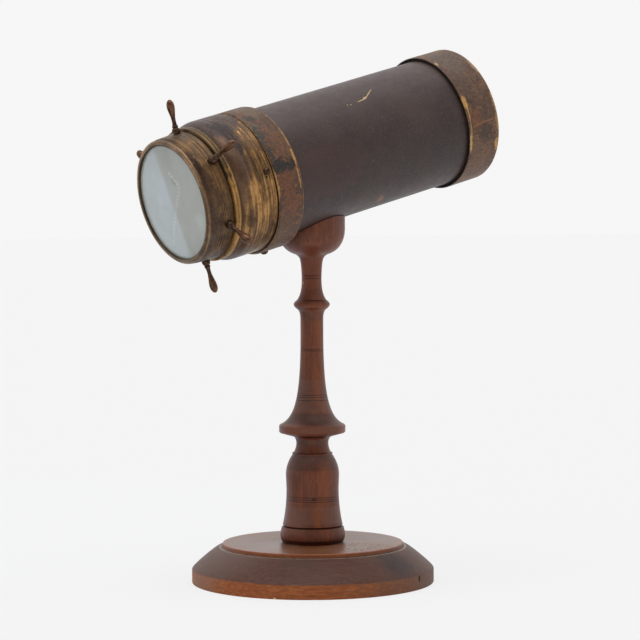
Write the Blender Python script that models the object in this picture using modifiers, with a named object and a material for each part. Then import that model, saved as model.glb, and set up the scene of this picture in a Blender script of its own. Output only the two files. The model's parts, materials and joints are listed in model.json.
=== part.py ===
"""A parlour kaleidoscope: a tapered barrel on a turned wooden stand, with a brass object case
turned by six small handles. Metres, +Z up, origin at the centre of the base's underside.
The barrel's axis lies in the XZ plane, with the eye end towards +X and up."""

import math

import bmesh
import bpy
from mathutils import Matrix, Vector

# Clearances and cuts
FIT_GAP = 0.0003
CUT_OVERRUN = 0.0020
WELD_DISTANCE = 0.00001
SMOOTH_ANGLE_DEG = 30.0

# Facets round each kind of turned piece
BASE_STEPS = 44
COLUMN_STEPS = 30
RING_STEPS = 32
EYE_STEPS = 18
SPOKE_STEPS = 8
SCREW_STEPS = 8
BEAD_STEPS = 8
BEAD_RINGS = 6
ROUND_POINTS = 2

# Base
BASE_RADIUS = 0.0762
BASE_EDGE_HEIGHT = 0.0086
BASE_SLOPE_HEIGHT = 0.0136
BASE_EDGE_ROUND = 0.0009
PLATEAU_RADIUS = 0.0569
PLATEAU_STEP = 0.0026
PLATEAU_ROUND = 0.0007
PLATEAU_SHELF = 0.0028
SLOPE_HANDLE_SHARES = ((0.15, 0.05), (0.88, 0.80))

# Column, from the tenon up
TENON_RADIUS = 0.0090
TENON_LENGTH = 0.0150
FOOT_BASE_RADIUS = 0.0188
FOOT_RADIUS = 0.0204
FOOT_TOP_RADIUS = 0.0195
FOOT_HEIGHT = 0.0094
FOOT_SWELL_SHARE = 0.48
FOOT_LOWER_SHARES = ((0.45, 0.05), (1.0, 0.45))
FOOT_UPPER_SHARES = ((0.0, 0.45), (0.7, 0.75))
GROOVE_WIDTH = 0.0014
GROOVE_DEPTH = 0.0008
BELL_MOUTH_RADIUS = 0.0189
BELL_WAIST_RADIUS = 0.01645
BELL_SHOULDER_RADIUS = 0.0168
BELL_TOP_RADIUS = 0.0125
BELL_FLARE_HEIGHT = 0.0229
BELL_SIDE_HEIGHT = 0.0089
BELL_DOME_HEIGHT = 0.0126
BELL_FLARE_SHARES = ((0.40, 0.18), (1.0, 0.55))
BELL_DOME_SHARES = ((0.0, 0.42), (0.55, 0.78))
LEDGE_HEIGHT = 0.0013
LEDGE_RADIUS = 0.0121
NECK_RADIUS = 0.0101
NECK_LOWER_HEIGHT = 0.0057
NECK_UPPER_HEIGHT = 0.0044
NECK_TOP_RADIUS = 0.0124
NECK_LOWER_SHARES = ((0.55, 0.25), (1.0, 0.65))
NECK_UPPER_SHARES = ((0.0, 0.50), (0.35, 0.90))
DISC_RADIUS = 0.0209
DISC_UNDERSIDE_RISE = 0.0021
DISC_EDGE_HEIGHT = 0.0054
DISC_ROUND = 0.0008
DISC_TOP_INSET = 0.0008
SHAFT_RADIUS = 0.0072
SHAFT_FLARE_HEIGHT = 0.0580
SHAFT_HEIGHT = 0.0080
SHAFT_FLARE_SHARES = ((0.75, 0.074), (1.0, 0.325))
BEAD_COVE_HEIGHT = 0.0065
BEAD_FOOT_RADIUS = 0.0092
BEAD_RADIUS = 0.0114
BEAD_HEIGHT = 0.0058
BEAD_COVE_SHARES = ((0.0, 0.55), (0.30, 0.85))
BEAD_SIDE_SHARES = ((0.60, 0.06), (1.0, 0.45))
STEM_RADIUS = 0.00625
STEM_TOP_RADIUS = 0.0072
STEM_COVE_HEIGHT = 0.0124
STEM_HEIGHT = 0.0126
STEM_COVE_SHARES = ((0.60, 0.20), (1.0, 0.50))
STEM_TOP_SHARES = ((0.0, 0.45), (0.45, 0.85))
CUP_RADIUS = 0.0211
CUP_BOWL_HEIGHT = 0.0192
CUP_BOWL_SHARES = ((0.32, 0.24), (1.0, 0.36))
SADDLE_FLOOR_RISE = 0.0012

# Barrel, measured along its axis from the point over the column
TILT_DEG = 14.95
BARREL_FRONT_RADIUS = 0.0405
BARREL_TAPER = 0.0007
TUBE_WALL = 0.0020
COVERING_THICKNESS = 0.0006
TUBE_REAR_REACH = 0.1150
BAND_REAR_REACH = 0.0399
BAND_WIDTH = 0.0183
BAND_RISE = 0.0043
BAND_SAG = 0.0010
BAND_ROUND = 0.0006

# Collar
COLLAR_LENGTH = 0.0296
COLLAR_LINER_WALL = 0.0026
COLLAR_LIP_STEP = 0.0020
COLLAR_LIP_WIDTH = 0.0048
COLLAR_SHOULDER_LENGTH = 0.0072
COLLAR_SHEET = 0.0008
COLLAR_LIP_THICKNESS = 0.0016
COLLAR_LIP_ROUND = 0.0010
COLLAR_QUIRK_DEPTH = 0.0004
COLLAR_SHOULDER_SHARES = ((0.55, 0.20), (1.0, 0.55))
SCREW_SETBACK = 0.0039
SCREW_ANGLES_DEG = (170.0, 290.0, 50.0)
PIN_SETBACK = 0.0042
PIN_ANGLE_DEG = 260.5

# Object case
CASE_RUNNING_GAP = 0.0005
DRUM_LENGTH = 0.0134
DRUM_FRONT_STEP = 0.0012
DRUM_REAR_STEP = 0.0019
DRUM_WALL = 0.0015
DRUM_EDGE_ROUND = 0.0004
SPIGOT_WALL = 0.0014
GLASS_LEDGE_THICKNESS = 0.0015
KEEPER_THICKNESS = 0.0024
KEEPER_WALL = 0.0018
BEZEL_STEP = 0.0004
BEZEL_DEPTH = 0.0038
BEZEL_LIP_COVER = 0.0011
BEZEL_LIP_THICKNESS = 0.0013
BEZEL_SKIRT_LENGTH = 0.0040
BEZEL_SKIRT_WALL = 0.0009
BEZEL_CREST_SHARE = 0.30
BEZEL_OUTER_SHARES = ((0.45, 0.0), (1.0, 0.35))
GLASS_THICKNESS = 0.0020
SPACER_WALL = 0.0012

# Spokes of the case
SPOKE_ANGLES_DEG = (91.0, 146.5, 205.5, 270.0, 327.0, 29.0)
SPOKE_SETBACK = 0.0034
SPOKE_BENDS_ALONG = (0.0, 0.0068, 0.0012, 0.0004, 0.0025, 0.0020)
SPOKE_BENDS_AROUND = (0.0, 0.0022, 0.0028, -0.0022, 0.0, 0.0)
SPOKE_LENGTH = 0.0206
SPOKE_BOSS_RADIUS = 0.0026
SPOKE_COLLAR_RADIUS = 0.0019
SPOKE_NECK_RADIUS = 0.00125
SPOKE_BULB_RADIUS = 0.0024
SPOKE_TENON_RADIUS = 0.0013
SPOKE_OUTLINE_SHARES = (
    ("tip", 1.0, 0.0),
    ("bulb", 0.985, 0.30),
    ("bulb", 0.94, 0.62),
    ("bulb", 0.86, 0.90),
    ("bulb", 0.76, 1.0),
    ("bulb", 0.66, 0.95),
    ("bulb", 0.54, 0.73),
    ("neck", 0.43, 1.08),
    ("neck", 0.34, 1.0),
    ("neck", 0.25, 1.08),
    ("collar", 0.225, 0.92),
    ("collar", 0.17, 1.0),
    ("collar", 0.145, 0.92),
    ("boss", 0.12, 0.86),
    ("boss", 0.05, 1.0),
    ("boss", 0.0, 0.96),
)

# Round headed screws and pins
SCREW_HEAD_RADIUS = 0.0022
SCREW_HEAD_HEIGHT = 0.0015
SCREW_SHANK_RADIUS = 0.0009
SCREW_LENGTH = 0.0049
SCREW_POINT_LENGTH = 0.0010
PIN_HEAD_RADIUS = 0.0019
PIN_HEAD_HEIGHT = 0.0020
PIN_SHANK_RADIUS = 0.0006
PIN_TIP_GAP = 0.0005
SADDLE_SCREW_HEAD_RADIUS = 0.0028
SADDLE_SCREW_HEAD_HEIGHT = 0.0015
SADDLE_SCREW_SHANK_RADIUS = 0.0014
SADDLE_SCREW_LENGTH = 0.0130
SADDLE_SCREW_SPACING = 0.0130
HEAD_DOME_SHARES = ((0.0, 1.0), (0.45, 0.90), (0.80, 0.60), (1.0, 0.12))

# Mirrors
MIRROR_THICKNESS = 0.0020
MIRROR_HALF_ANGLE_DEG = 15.0
MIRROR_APEX_SETBACK = 0.0056
MIRROR_TOP_SETBACK = 0.0157
MIRROR_EDGE_SETBACK = 0.0008
MIRROR_REAR_CLEARANCE = 0.0060
MIRROR_FRONT_CLEARANCE = 0.0015
MIRROR_COVER_THICKNESS = 0.0012
FORMER_THICKNESS = 0.0030
FRONT_FORMER_INSET = 0.0020
REAR_FORMER_INSET = 0.0120

# Eye cap
CAP_LENGTH = 0.0246
CAP_WALL = 0.0013
CAP_LINING_WALL = 0.0005
CAP_ROUND = 0.0008
CAP_RIM_THICKNESS = 0.0008
CAP_RIM_WIDTH = 0.0022
EYE_DISC_THICKNESS = 0.0026
EYE_HOLE_RADIUS = 0.0065
EYELET_FLANGE_RADIUS = 0.0105
EYELET_FLANGE_THICKNESS = 0.0006
EYELET_WALL = 0.0012
EYE_GLASS_RADIUS = 0.0090
EYE_GLASS_THICKNESS = 0.0011
EYE_KEEPER_RADIUS = 0.0135
EYE_KEEPER_HOLE_RADIUS = 0.0062
EYE_KEEPER_THICKNESS = 0.0006

# Loose glass: it lies on the cell's floor, at angles from straight down towards +Y
CANE_RADIUS = 0.0015
CANE_LOBE_SHARE = 0.35
CANE_LOBES = 2
CANE_TURNS = 9
CANE_RINGS = 30
CANE_SECTION_POINTS = 8
CANE_ROUTE_SHARES = ((0.260, -0.865), (0.02, -0.36), (-0.30, 0.10), (-0.27, 0.40), (-0.05, 0.50))
AMPOULE_RADIUS = 0.0032
AMPOULE_LENGTH = 0.0190
AMPOULE_OUTLINE_SHARES = (
    (1.0, 0.0), (0.97, 0.12), (0.88, 0.17), (0.80, 0.55), (0.70, 0.90), (0.58, 1.0),
    (0.12, 1.0), (0.05, 0.80), (0.0, 0.0),
)
AMPOULE_LEFT_ANGLE_DEG = -24.0
AMPOULE_UPPER_SHIFT_DEG = -8.0
AMPOULE_RIGHT_GAP = 0.0050
AMPOULE_COLOURS = ((0.62, 0.05, 0.05), (0.05, 0.20, 0.55), (0.75, 0.45, 0.05))
BEAD_BALL_RADIUS = 0.0027
BEAD_UPPER_SHIFT_DEG = -10.0
BEAD_SPACING = 0.0005
BEAD_COLOURS = ((0.05, 0.35, 0.12), (0.70, 0.62, 0.20), (0.45, 0.05, 0.30))
SHARD_RADIUS = 0.0048
SHARD_THICKNESS = 0.0018
SHARD_CORNERS = (3, 4, 5, 4)
SHARD_EDGE_GAP = 0.0007
SHARD_ANGLES_DEG = (-46.0, -20.0, 8.0, 34.0)
SHARD_TURNS_DEG = (15.0, 35.0, 60.0, 10.0)
SHARD_COLOURS = ((0.10, 0.45, 0.50), (0.55, 0.10, 0.08), (0.20, 0.25, 0.60), (0.12, 0.42, 0.16))

# Sizes that follow from the ones above
TILT = math.radians(TILT_DEG)
BASE_HEIGHT = BASE_EDGE_HEIGHT + BASE_SLOPE_HEIGHT + PLATEAU_STEP
COLUMN_FOOT = BASE_HEIGHT + FIT_GAP
DISC_HEIGHT = DISC_UNDERSIDE_RISE + DISC_EDGE_HEIGHT
BELL_HEIGHT = BELL_FLARE_HEIGHT + BELL_SIDE_HEIGHT + BELL_DOME_HEIGHT
NECK_HEIGHT = LEDGE_HEIGHT + NECK_LOWER_HEIGHT + NECK_UPPER_HEIGHT
SHAFT_TOTAL = SHAFT_FLARE_HEIGHT + SHAFT_HEIGHT + BEAD_COVE_HEIGHT
BOWL_TOP = (COLUMN_FOOT + FOOT_HEIGHT + GROOVE_WIDTH + BELL_HEIGHT + NECK_HEIGHT + DISC_HEIGHT
            + SHAFT_TOTAL + BEAD_HEIGHT + STEM_COVE_HEIGHT + STEM_HEIGHT + CUP_BOWL_HEIGHT)

BARREL_REAR_RADIUS = BARREL_FRONT_RADIUS + BARREL_TAPER
BAND_RADIUS = BARREL_FRONT_RADIUS + BAND_RISE
TUBE_FRONT_RADIUS = BARREL_FRONT_RADIUS - COVERING_THICKNESS - FIT_GAP
LINER_RADIUS = TUBE_FRONT_RADIUS + FIT_GAP + COLLAR_LINER_WALL
COLLAR_RADIUS = LINER_RADIUS + FIT_GAP + COLLAR_SHEET
COLLAR_LIP_RADIUS = COLLAR_RADIUS - COLLAR_LIP_STEP
COLLAR_LIP_BORE = COLLAR_LIP_RADIUS - COLLAR_QUIRK_DEPTH - COLLAR_SHEET
KEEPER_RADIUS = COLLAR_LIP_BORE - CASE_RUNNING_GAP
SPIGOT_RADIUS = KEEPER_RADIUS - KEEPER_WALL - FIT_GAP
DRUM_FRONT_RADIUS = SPIGOT_RADIUS + DRUM_FRONT_STEP
DRUM_REAR_RADIUS = SPIGOT_RADIUS + DRUM_REAR_STEP
DRUM_BORE_RADIUS = DRUM_FRONT_RADIUS - DRUM_WALL
BEZEL_RADIUS = DRUM_FRONT_RADIUS - BEZEL_STEP

COLLAR_REAR = -(BAND_REAR_REACH + BAND_WIDTH + FIT_GAP)
COLLAR_FRONT = COLLAR_REAR - COLLAR_LENGTH
DRUM_REAR = COLLAR_FRONT - CASE_RUNNING_GAP
DRUM_FRONT = DRUM_REAR - DRUM_LENGTH
KEEPER_FRONT = COLLAR_FRONT + COLLAR_LIP_THICKNESS + FIT_GAP
KEEPER_REAR = KEEPER_FRONT + KEEPER_THICKNESS
TUBE_FRONT = KEEPER_REAR + CASE_RUNNING_GAP
TUBE_LENGTH = TUBE_REAR_REACH - TUBE_FRONT
SPIGOT_BORE = SPIGOT_RADIUS - SPIGOT_WALL
BEZEL_REAR = DRUM_FRONT - FIT_GAP
BEZEL_FRONT = BEZEL_REAR - BEZEL_DEPTH
BEZEL_SKIRT_RADIUS = DRUM_BORE_RADIUS - FIT_GAP
BEZEL_SKIRT_BORE = BEZEL_SKIRT_RADIUS - BEZEL_SKIRT_WALL
FRONT_GLASS_RADIUS = BEZEL_SKIRT_BORE - FIT_GAP
BEZEL_LIP_RADIUS = FRONT_GLASS_RADIUS - BEZEL_LIP_COVER
FRONT_GLASS_FRONT = BEZEL_FRONT + BEZEL_LIP_THICKNESS + FIT_GAP
FRONT_GLASS_REAR = FRONT_GLASS_FRONT + GLASS_THICKNESS
INNER_GLASS_REAR = DRUM_REAR - GLASS_LEDGE_THICKNESS - FIT_GAP
INNER_GLASS_FRONT = INNER_GLASS_REAR - GLASS_THICKNESS
CELL_FRONT = FRONT_GLASS_REAR + FIT_GAP
CELL_REAR = INNER_GLASS_FRONT - FIT_GAP
CELL_RADIUS = FRONT_GLASS_RADIUS - SPACER_WALL
EYE_DISC_FRONT = TUBE_REAR_REACH + FIT_GAP
EYE_DISC_REAR = EYE_DISC_FRONT + EYE_DISC_THICKNESS
CAP_RIM_FRONT = EYE_DISC_REAR + FIT_GAP
CAP_REAR = CAP_RIM_FRONT + CAP_RIM_THICKNESS
CAP_FRONT = CAP_REAR - CAP_LENGTH
CAP_LINING_BORE = BARREL_REAR_RADIUS + FIT_GAP
CAP_LINING_RADIUS = CAP_LINING_BORE + CAP_LINING_WALL
CAP_BORE = CAP_LINING_RADIUS + FIT_GAP
CAP_RADIUS = CAP_BORE + CAP_WALL


def barrel_radius(station):
    """Outer radius of the covered barrel, which tapers evenly towards the object end."""
    share = (station - TUBE_FRONT) / TUBE_LENGTH
    return BARREL_FRONT_RADIUS + (BARREL_REAR_RADIUS - BARREL_FRONT_RADIUS) * share


def tube_radius(station):
    return barrel_radius(station) - COVERING_THICKNESS - FIT_GAP


def tube_bore(station):
    return tube_radius(station) - TUBE_WALL


def drum_radius(station):
    share = (station - DRUM_FRONT) / DRUM_LENGTH
    return DRUM_FRONT_RADIUS + (DRUM_REAR_RADIUS - DRUM_FRONT_RADIUS) * share


SADDLE_RADIUS = barrel_radius(0) + FIT_GAP
AXIS_HEIGHT = BOWL_TOP + SADDLE_FLOOR_RISE + SADDLE_RADIUS / math.cos(TILT)


def clear_scene():
    for item in list(bpy.data.objects):
        bpy.data.objects.remove(item, do_unlink=True)


def new_collection(name):
    made = bpy.data.collections.new(name)
    bpy.context.scene.collection.children.link(made)
    return made


clear_scene()
PARTS = new_collection("kaleidoscope")
CUTTERS = new_collection("cutters")


def new_axis(name):
    """An empty on the barrel's axis over the column. Its local Z runs along the barrel to the eye end."""
    empty = bpy.data.objects.new(name, None)
    PARTS.objects.link(empty)
    empty.location = (0, 0, AXIS_HEIGHT)
    empty.rotation_euler = (0, math.pi / 2 - TILT, 0)
    return empty


BARREL_AXIS = new_axis("barrel_axis")
CASE_AXIS = new_axis("case_axis")
GLASS_AXIS = new_axis("loose_glass_axis")
CAP_AXIS = new_axis("cap_axis")


def material(name, colour, roughness, metallic=0.0, alpha=1.0):
    made = bpy.data.materials.new(name)
    made.use_nodes = True
    shader = made.node_tree.nodes["Principled BSDF"]
    shader.inputs["Base Color"].default_value = (*colour, 1.0)
    shader.inputs["Roughness"].default_value = roughness
    shader.inputs["Metallic"].default_value = metallic
    shader.inputs["Alpha"].default_value = alpha
    return made


def add_object(name, mesh, finish=None, parent=None, collection=PARTS):
    made = bpy.data.objects.new(name, mesh)
    collection.objects.link(made)
    made.parent = parent
    if finish:
        mesh.materials.append(finish)
    return made


def flow(start, end, handle_shares, steps):
    """Points of a cubic curve after start, up to end. The handles are shares of its width and height."""
    width = end[0] - start[0]
    height = end[1] - start[1]
    first, second = [(start[0] + width * a, start[1] + height * b) for a, b in handle_shares]
    points = []
    for step in range(1, steps + 1):
        t = step / steps
        weights = ((1 - t) ** 3, 3 * t * (1 - t) ** 2, 3 * t * t * (1 - t), t ** 3)
        corners = (start, first, second, end)
        points.append(tuple(sum(w * c[i] for w, c in zip(weights, corners)) for i in (0, 1)))
    return points


def rounded(centre, radius, start_deg, end_deg, steps=ROUND_POINTS):
    """Points of an arc in a profile, its angles measured from outwards towards up."""
    points = []
    for step in range(steps + 1):
        angle = math.radians(start_deg + (end_deg - start_deg) * step / steps)
        points.append((centre[0] + radius * math.cos(angle), centre[1] + radius * math.sin(angle)))
    return points


def turned(name, profile, steps, finish=None, parent=None, closed=False, collection=PARTS):
    """A Screw modifier turns the profile of (radius, height) points about Z.
    The points run down the outer side, from top to bottom. A closed profile makes a ring."""
    mesh = bpy.data.meshes.new(name)
    last = len(profile)
    edges = [(i, i + 1) for i in range(last - 1)]
    if closed:
        edges.append((last - 1, 0))
    mesh.from_pydata([(radius, 0, height) for radius, height in profile], edges, [])
    made = add_object(name, mesh, finish, parent, collection)
    screw = made.modifiers.new("turn", "SCREW")
    screw.steps = steps
    screw.render_steps = steps
    screw.use_merge_vertices = True
    screw.merge_threshold = WELD_DISTANCE
    screw.use_smooth_shade = True
    return made


def ring(name, outer, inner, finish, parent, steps=RING_STEPS):
    """A ring from its outer points, top to bottom, and its inner points, bottom to top."""
    return turned(name, list(outer) + list(inner), steps, finish, parent, closed=True)


def disc_profile(radius, low, high):
    return [(0, high), (radius, high), (radius, low), (0, low)]


def guide(made):
    made.hide_render = True
    made.display_type = "WIRE"
    return made


def cut(target, cutter):
    step = target.modifiers.new("cut", "BOOLEAN")
    step.operation = "DIFFERENCE"
    step.object = cutter
    return step


def radial_direction(angle_deg):
    """Unit vector square to the barrel, at an angle from +Y towards up, in the axis' own frame."""
    angle = math.radians(angle_deg)
    return Vector((-math.sin(angle), math.cos(angle), 0))


def radial_matrix(angle_deg, station, radius):
    """Places a piece whose own Z points outwards from the barrel's axis."""
    direction = radial_direction(angle_deg)
    turn = direction.to_track_quat("Z", "X").to_matrix().to_4x4()
    return Matrix.Translation(direction * radius + Vector((0, 0, station))) @ turn


def radial_drill(name, radius, inner, outer, station, angles_deg, parent):
    """A cutter of round drills that point outwards from the axis, one at each angle."""
    mesh = bpy.data.meshes.new(name)
    shape = bmesh.new()
    for angle_deg in angles_deg:
        place = radial_matrix(angle_deg, station, (inner + outer) / 2)
        bmesh.ops.create_cone(shape, cap_ends=True, segments=SCREW_STEPS, radius1=radius, radius2=radius,
                              depth=outer - inner, matrix=place)
    shape.to_mesh(mesh)
    shape.free()
    return guide(add_object(name, mesh, parent=parent, collection=CUTTERS))


def round_head_profile(head_radius, head_height, shank_radius, length, point_length):
    """A domed head above zero, and a shank with a point below it."""
    dome = [(head_radius * a, head_height * b) for a, b in HEAD_DOME_SHARES]
    return dome + [(head_radius, 0), (shank_radius, 0), (shank_radius, point_length - length), (0, -length)]


def radial_piece(name, profile, angle_deg, station, radius, steps, finish, parent):
    made = turned(name, profile, steps, finish, parent)
    made.matrix_local = radial_matrix(angle_deg, station, radius)
    return made


def make_base(finish):
    mortise_radius = TENON_RADIUS + FIT_GAP
    mortise_floor = BASE_HEIGHT - TENON_LENGTH
    shelf_height = BASE_HEIGHT - PLATEAU_STEP
    slope_start = (PLATEAU_RADIUS + PLATEAU_SHELF, shelf_height)
    profile = [(0, mortise_floor), (mortise_radius, mortise_floor), (mortise_radius, BASE_HEIGHT)]
    profile += rounded((PLATEAU_RADIUS - PLATEAU_ROUND, BASE_HEIGHT - PLATEAU_ROUND), PLATEAU_ROUND, 90, 0)
    profile += [(PLATEAU_RADIUS, shelf_height), slope_start]
    profile += flow(slope_start, (BASE_RADIUS, BASE_EDGE_HEIGHT), SLOPE_HANDLE_SHARES, 5)
    profile += rounded((BASE_RADIUS - BASE_EDGE_ROUND, BASE_EDGE_ROUND), BASE_EDGE_ROUND, 0, -90)
    profile += [(0, 0)]
    return turned("stand_base", profile, BASE_STEPS, finish)


def column_outline():
    """The column's outer side from the foot's underside up to the top of the cup's bowl."""
    foot_swell = (FOOT_RADIUS, COLUMN_FOOT + FOOT_HEIGHT * FOOT_SWELL_SHARE)
    foot_top = (FOOT_TOP_RADIUS, COLUMN_FOOT + FOOT_HEIGHT)
    bell_mouth = (BELL_MOUTH_RADIUS, foot_top[1] + GROOVE_WIDTH)
    groove = (BELL_MOUTH_RADIUS - GROOVE_DEPTH, (foot_top[1] + bell_mouth[1]) / 2)
    waist = (BELL_WAIST_RADIUS, bell_mouth[1] + BELL_FLARE_HEIGHT)
    shoulder = (BELL_SHOULDER_RADIUS, waist[1] + BELL_SIDE_HEIGHT)
    bell_top = (BELL_TOP_RADIUS, shoulder[1] + BELL_DOME_HEIGHT)
    ledge = (LEDGE_RADIUS, bell_top[1] + LEDGE_HEIGHT)
    neck = (NECK_RADIUS, ledge[1] + NECK_LOWER_HEIGHT)
    neck_top = (NECK_TOP_RADIUS, neck[1] + NECK_UPPER_HEIGHT)
    disc_low = (DISC_RADIUS - DISC_ROUND, neck_top[1] + DISC_UNDERSIDE_RISE)
    disc_top = (DISC_RADIUS - DISC_TOP_INSET, disc_low[1] + DISC_EDGE_HEIGHT)
    flare_top = (SHAFT_RADIUS, disc_top[1] + SHAFT_FLARE_HEIGHT)
    shaft_top = (SHAFT_RADIUS, flare_top[1] + SHAFT_HEIGHT)
    bead_low = (BEAD_FOOT_RADIUS, shaft_top[1] + BEAD_COVE_HEIGHT)
    bead = (BEAD_RADIUS, bead_low[1] + BEAD_HEIGHT / 2)
    bead_top = (BEAD_FOOT_RADIUS, bead_low[1] + BEAD_HEIGHT)
    stem = (STEM_RADIUS, bead_top[1] + STEM_COVE_HEIGHT)
    stem_top = (STEM_TOP_RADIUS, stem[1] + STEM_HEIGHT)
    bowl_top = (CUP_RADIUS, stem_top[1] + CUP_BOWL_HEIGHT)
    bead_upper_shares = [(1 - a, 1 - b) for a, b in reversed(BEAD_SIDE_SHARES)]

    points = [(FOOT_BASE_RADIUS, COLUMN_FOOT)]
    points += flow(points[0], foot_swell, FOOT_LOWER_SHARES, 2)
    points += flow(foot_swell, foot_top, FOOT_UPPER_SHARES, 2)
    points += [groove, bell_mouth]
    points += flow(bell_mouth, waist, BELL_FLARE_SHARES, 3)
    points += [shoulder]
    points += flow(shoulder, bell_top, BELL_DOME_SHARES, 4)
    points += [ledge]
    points += flow(ledge, neck, NECK_LOWER_SHARES, 2)
    points += flow(neck, neck_top, NECK_UPPER_SHARES, 2)
    points += [disc_low, (DISC_RADIUS, disc_low[1] + DISC_ROUND)]
    points += [(DISC_RADIUS, disc_top[1] - DISC_ROUND), disc_top]
    points += flow(disc_top, flare_top, SHAFT_FLARE_SHARES, 7)
    points += [shaft_top]
    points += flow(shaft_top, bead_low, BEAD_COVE_SHARES, 2)
    points += flow(bead_low, bead, BEAD_SIDE_SHARES, 2)
    points += flow(bead, bead_top, bead_upper_shares, 2)
    points += flow(bead_top, stem, STEM_COVE_SHARES, 3)
    points += flow(stem, stem_top, STEM_TOP_SHARES, 2)
    points += flow(stem_top, bowl_top, CUP_BOWL_SHARES, 6)
    return points


def saddle_cutter():
    """A tapered plug of the barrel's own shape and a fitting gap, which hollows the cup."""
    reach = CUP_RADIUS * 2
    ends = [(barrel_radius(station) + FIT_GAP, station) for station in (reach, -reach)]
    profile = [(0, reach), *ends, (0, -reach)]
    return guide(turned("saddle_cutter", profile, RING_STEPS, parent=BARREL_AXIS, collection=CUTTERS))


def saddle_screw_stations():
    """Both screws stand square to the barrel, and their middle meets the column's axis."""
    middle = -math.tan(TILT) * (SADDLE_RADIUS + SADDLE_SCREW_LENGTH / 4)
    return (middle - SADDLE_SCREW_SPACING / 2, middle + SADDLE_SCREW_SPACING / 2)


def make_column(finish):
    rim = math.sqrt(SADDLE_RADIUS ** 2 - CUP_RADIUS ** 2) / math.cos(TILT)
    cup_top = AXIS_HEIGHT - rim + CUP_RADIUS * math.tan(TILT) + CUT_OVERRUN
    outline = column_outline()
    profile = [(0, cup_top), (CUP_RADIUS, cup_top), *reversed(outline)]
    profile += [(TENON_RADIUS, COLUMN_FOOT), (TENON_RADIUS, COLUMN_FOOT - TENON_LENGTH)]
    profile += [(0, COLUMN_FOOT - TENON_LENGTH)]
    column = turned("stand_column", profile, COLUMN_STEPS, finish)
    cut(column, saddle_cutter())
    return column


def make_barrel(pasteboard, covering):
    stations = (TUBE_REAR_REACH, TUBE_FRONT)
    tube = ring("barrel_tube", [(tube_radius(s), s) for s in stations],
                [(tube_bore(s), s) for s in reversed(stations)], pasteboard, BARREL_AXIS)
    stations = (TUBE_REAR_REACH, COLLAR_REAR + FIT_GAP)
    skin = ring("barrel_covering", [(barrel_radius(s), s) for s in stations],
                [(tube_radius(s) + FIT_GAP, s) for s in reversed(stations)], covering, BARREL_AXIS)
    return tube, skin


def sagged(name, profile, moved, finish):
    """A ring on the barrel whose moved points lie lower than the others, by BAND_SAG."""
    made = turned(name, profile, RING_STEPS, finish, BARREL_AXIS, closed=True)
    slack = made.vertex_groups.new(name="slack")
    slack.add(moved, 1.0, "REPLACE")
    step = made.modifiers.new("sag", "DISPLACE")
    step.direction = "X"
    step.strength = BAND_SAG
    step.mid_level = 0
    step.vertex_group = slack.name
    return made


def band_seat(angle_deg):
    """Distance from the barrel's axis to the band's outside, which hangs lower than the axis."""
    from_down = math.radians(270 - angle_deg)
    aside = BAND_SAG * math.sin(from_down)
    return BAND_SAG * math.cos(from_down) + math.sqrt(BAND_RADIUS ** 2 - aside ** 2)


def make_front_band(finish):
    """Leather over a pasteboard ring that fits the barrel above and stands off it below."""
    rear = -BAND_REAR_REACH
    front = rear - BAND_WIDTH
    edge = BAND_RADIUS - BAND_ROUND
    outer = rounded((edge, rear - BAND_ROUND), BAND_ROUND, 90, 0)
    outer += rounded((edge, front + BAND_ROUND), BAND_ROUND, 0, -90)
    inner = [(barrel_radius(s) + FIT_GAP, s) for s in (front, rear)]
    return sagged("front_band", outer + inner, list(range(len(outer))), finish)


def make_collar(brass, pasteboard):
    """Spun from one sheet. The lip turns in at the front, and the case's spigot runs in it."""
    lip_rear = COLLAR_FRONT + COLLAR_LIP_WIDTH
    shoulder_rear = lip_rear + COLLAR_SHOULDER_LENGTH
    quirk = (COLLAR_LIP_RADIUS - COLLAR_QUIRK_DEPTH, lip_rear + COLLAR_QUIRK_DEPTH)
    lip_corner = (COLLAR_LIP_RADIUS - COLLAR_LIP_ROUND, COLLAR_FRONT + COLLAR_LIP_ROUND)
    mouth = SPIGOT_RADIUS + CASE_RUNNING_GAP
    rising = [quirk, *flow(quirk, (COLLAR_RADIUS, shoulder_rear), COLLAR_SHOULDER_SHARES, 3)]
    outer = [(COLLAR_RADIUS, COLLAR_REAR), *reversed(rising), (COLLAR_LIP_RADIUS, lip_rear)]
    outer += rounded(lip_corner, COLLAR_LIP_ROUND, 0, -90)
    inner = [(mouth, COLLAR_FRONT), (mouth, COLLAR_FRONT + COLLAR_LIP_THICKNESS)]
    inner += [(COLLAR_LIP_BORE, COLLAR_FRONT + COLLAR_LIP_THICKNESS)]
    inner += [(COLLAR_LIP_BORE, lip_rear + COLLAR_SHEET)]
    inner += [(COLLAR_RADIUS - COLLAR_SHEET, shoulder_rear), (COLLAR_RADIUS - COLLAR_SHEET, COLLAR_REAR)]
    collar = ring("collar", outer, inner, brass, BARREL_AXIS)

    liner_ends = (COLLAR_REAR, shoulder_rear + FIT_GAP)
    liner = ring("collar_liner", [(LINER_RADIUS, s) for s in liner_ends],
                 [(tube_radius(s) + FIT_GAP, s) for s in reversed(liner_ends)], pasteboard, BARREL_AXIS)
    return collar, liner


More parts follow.
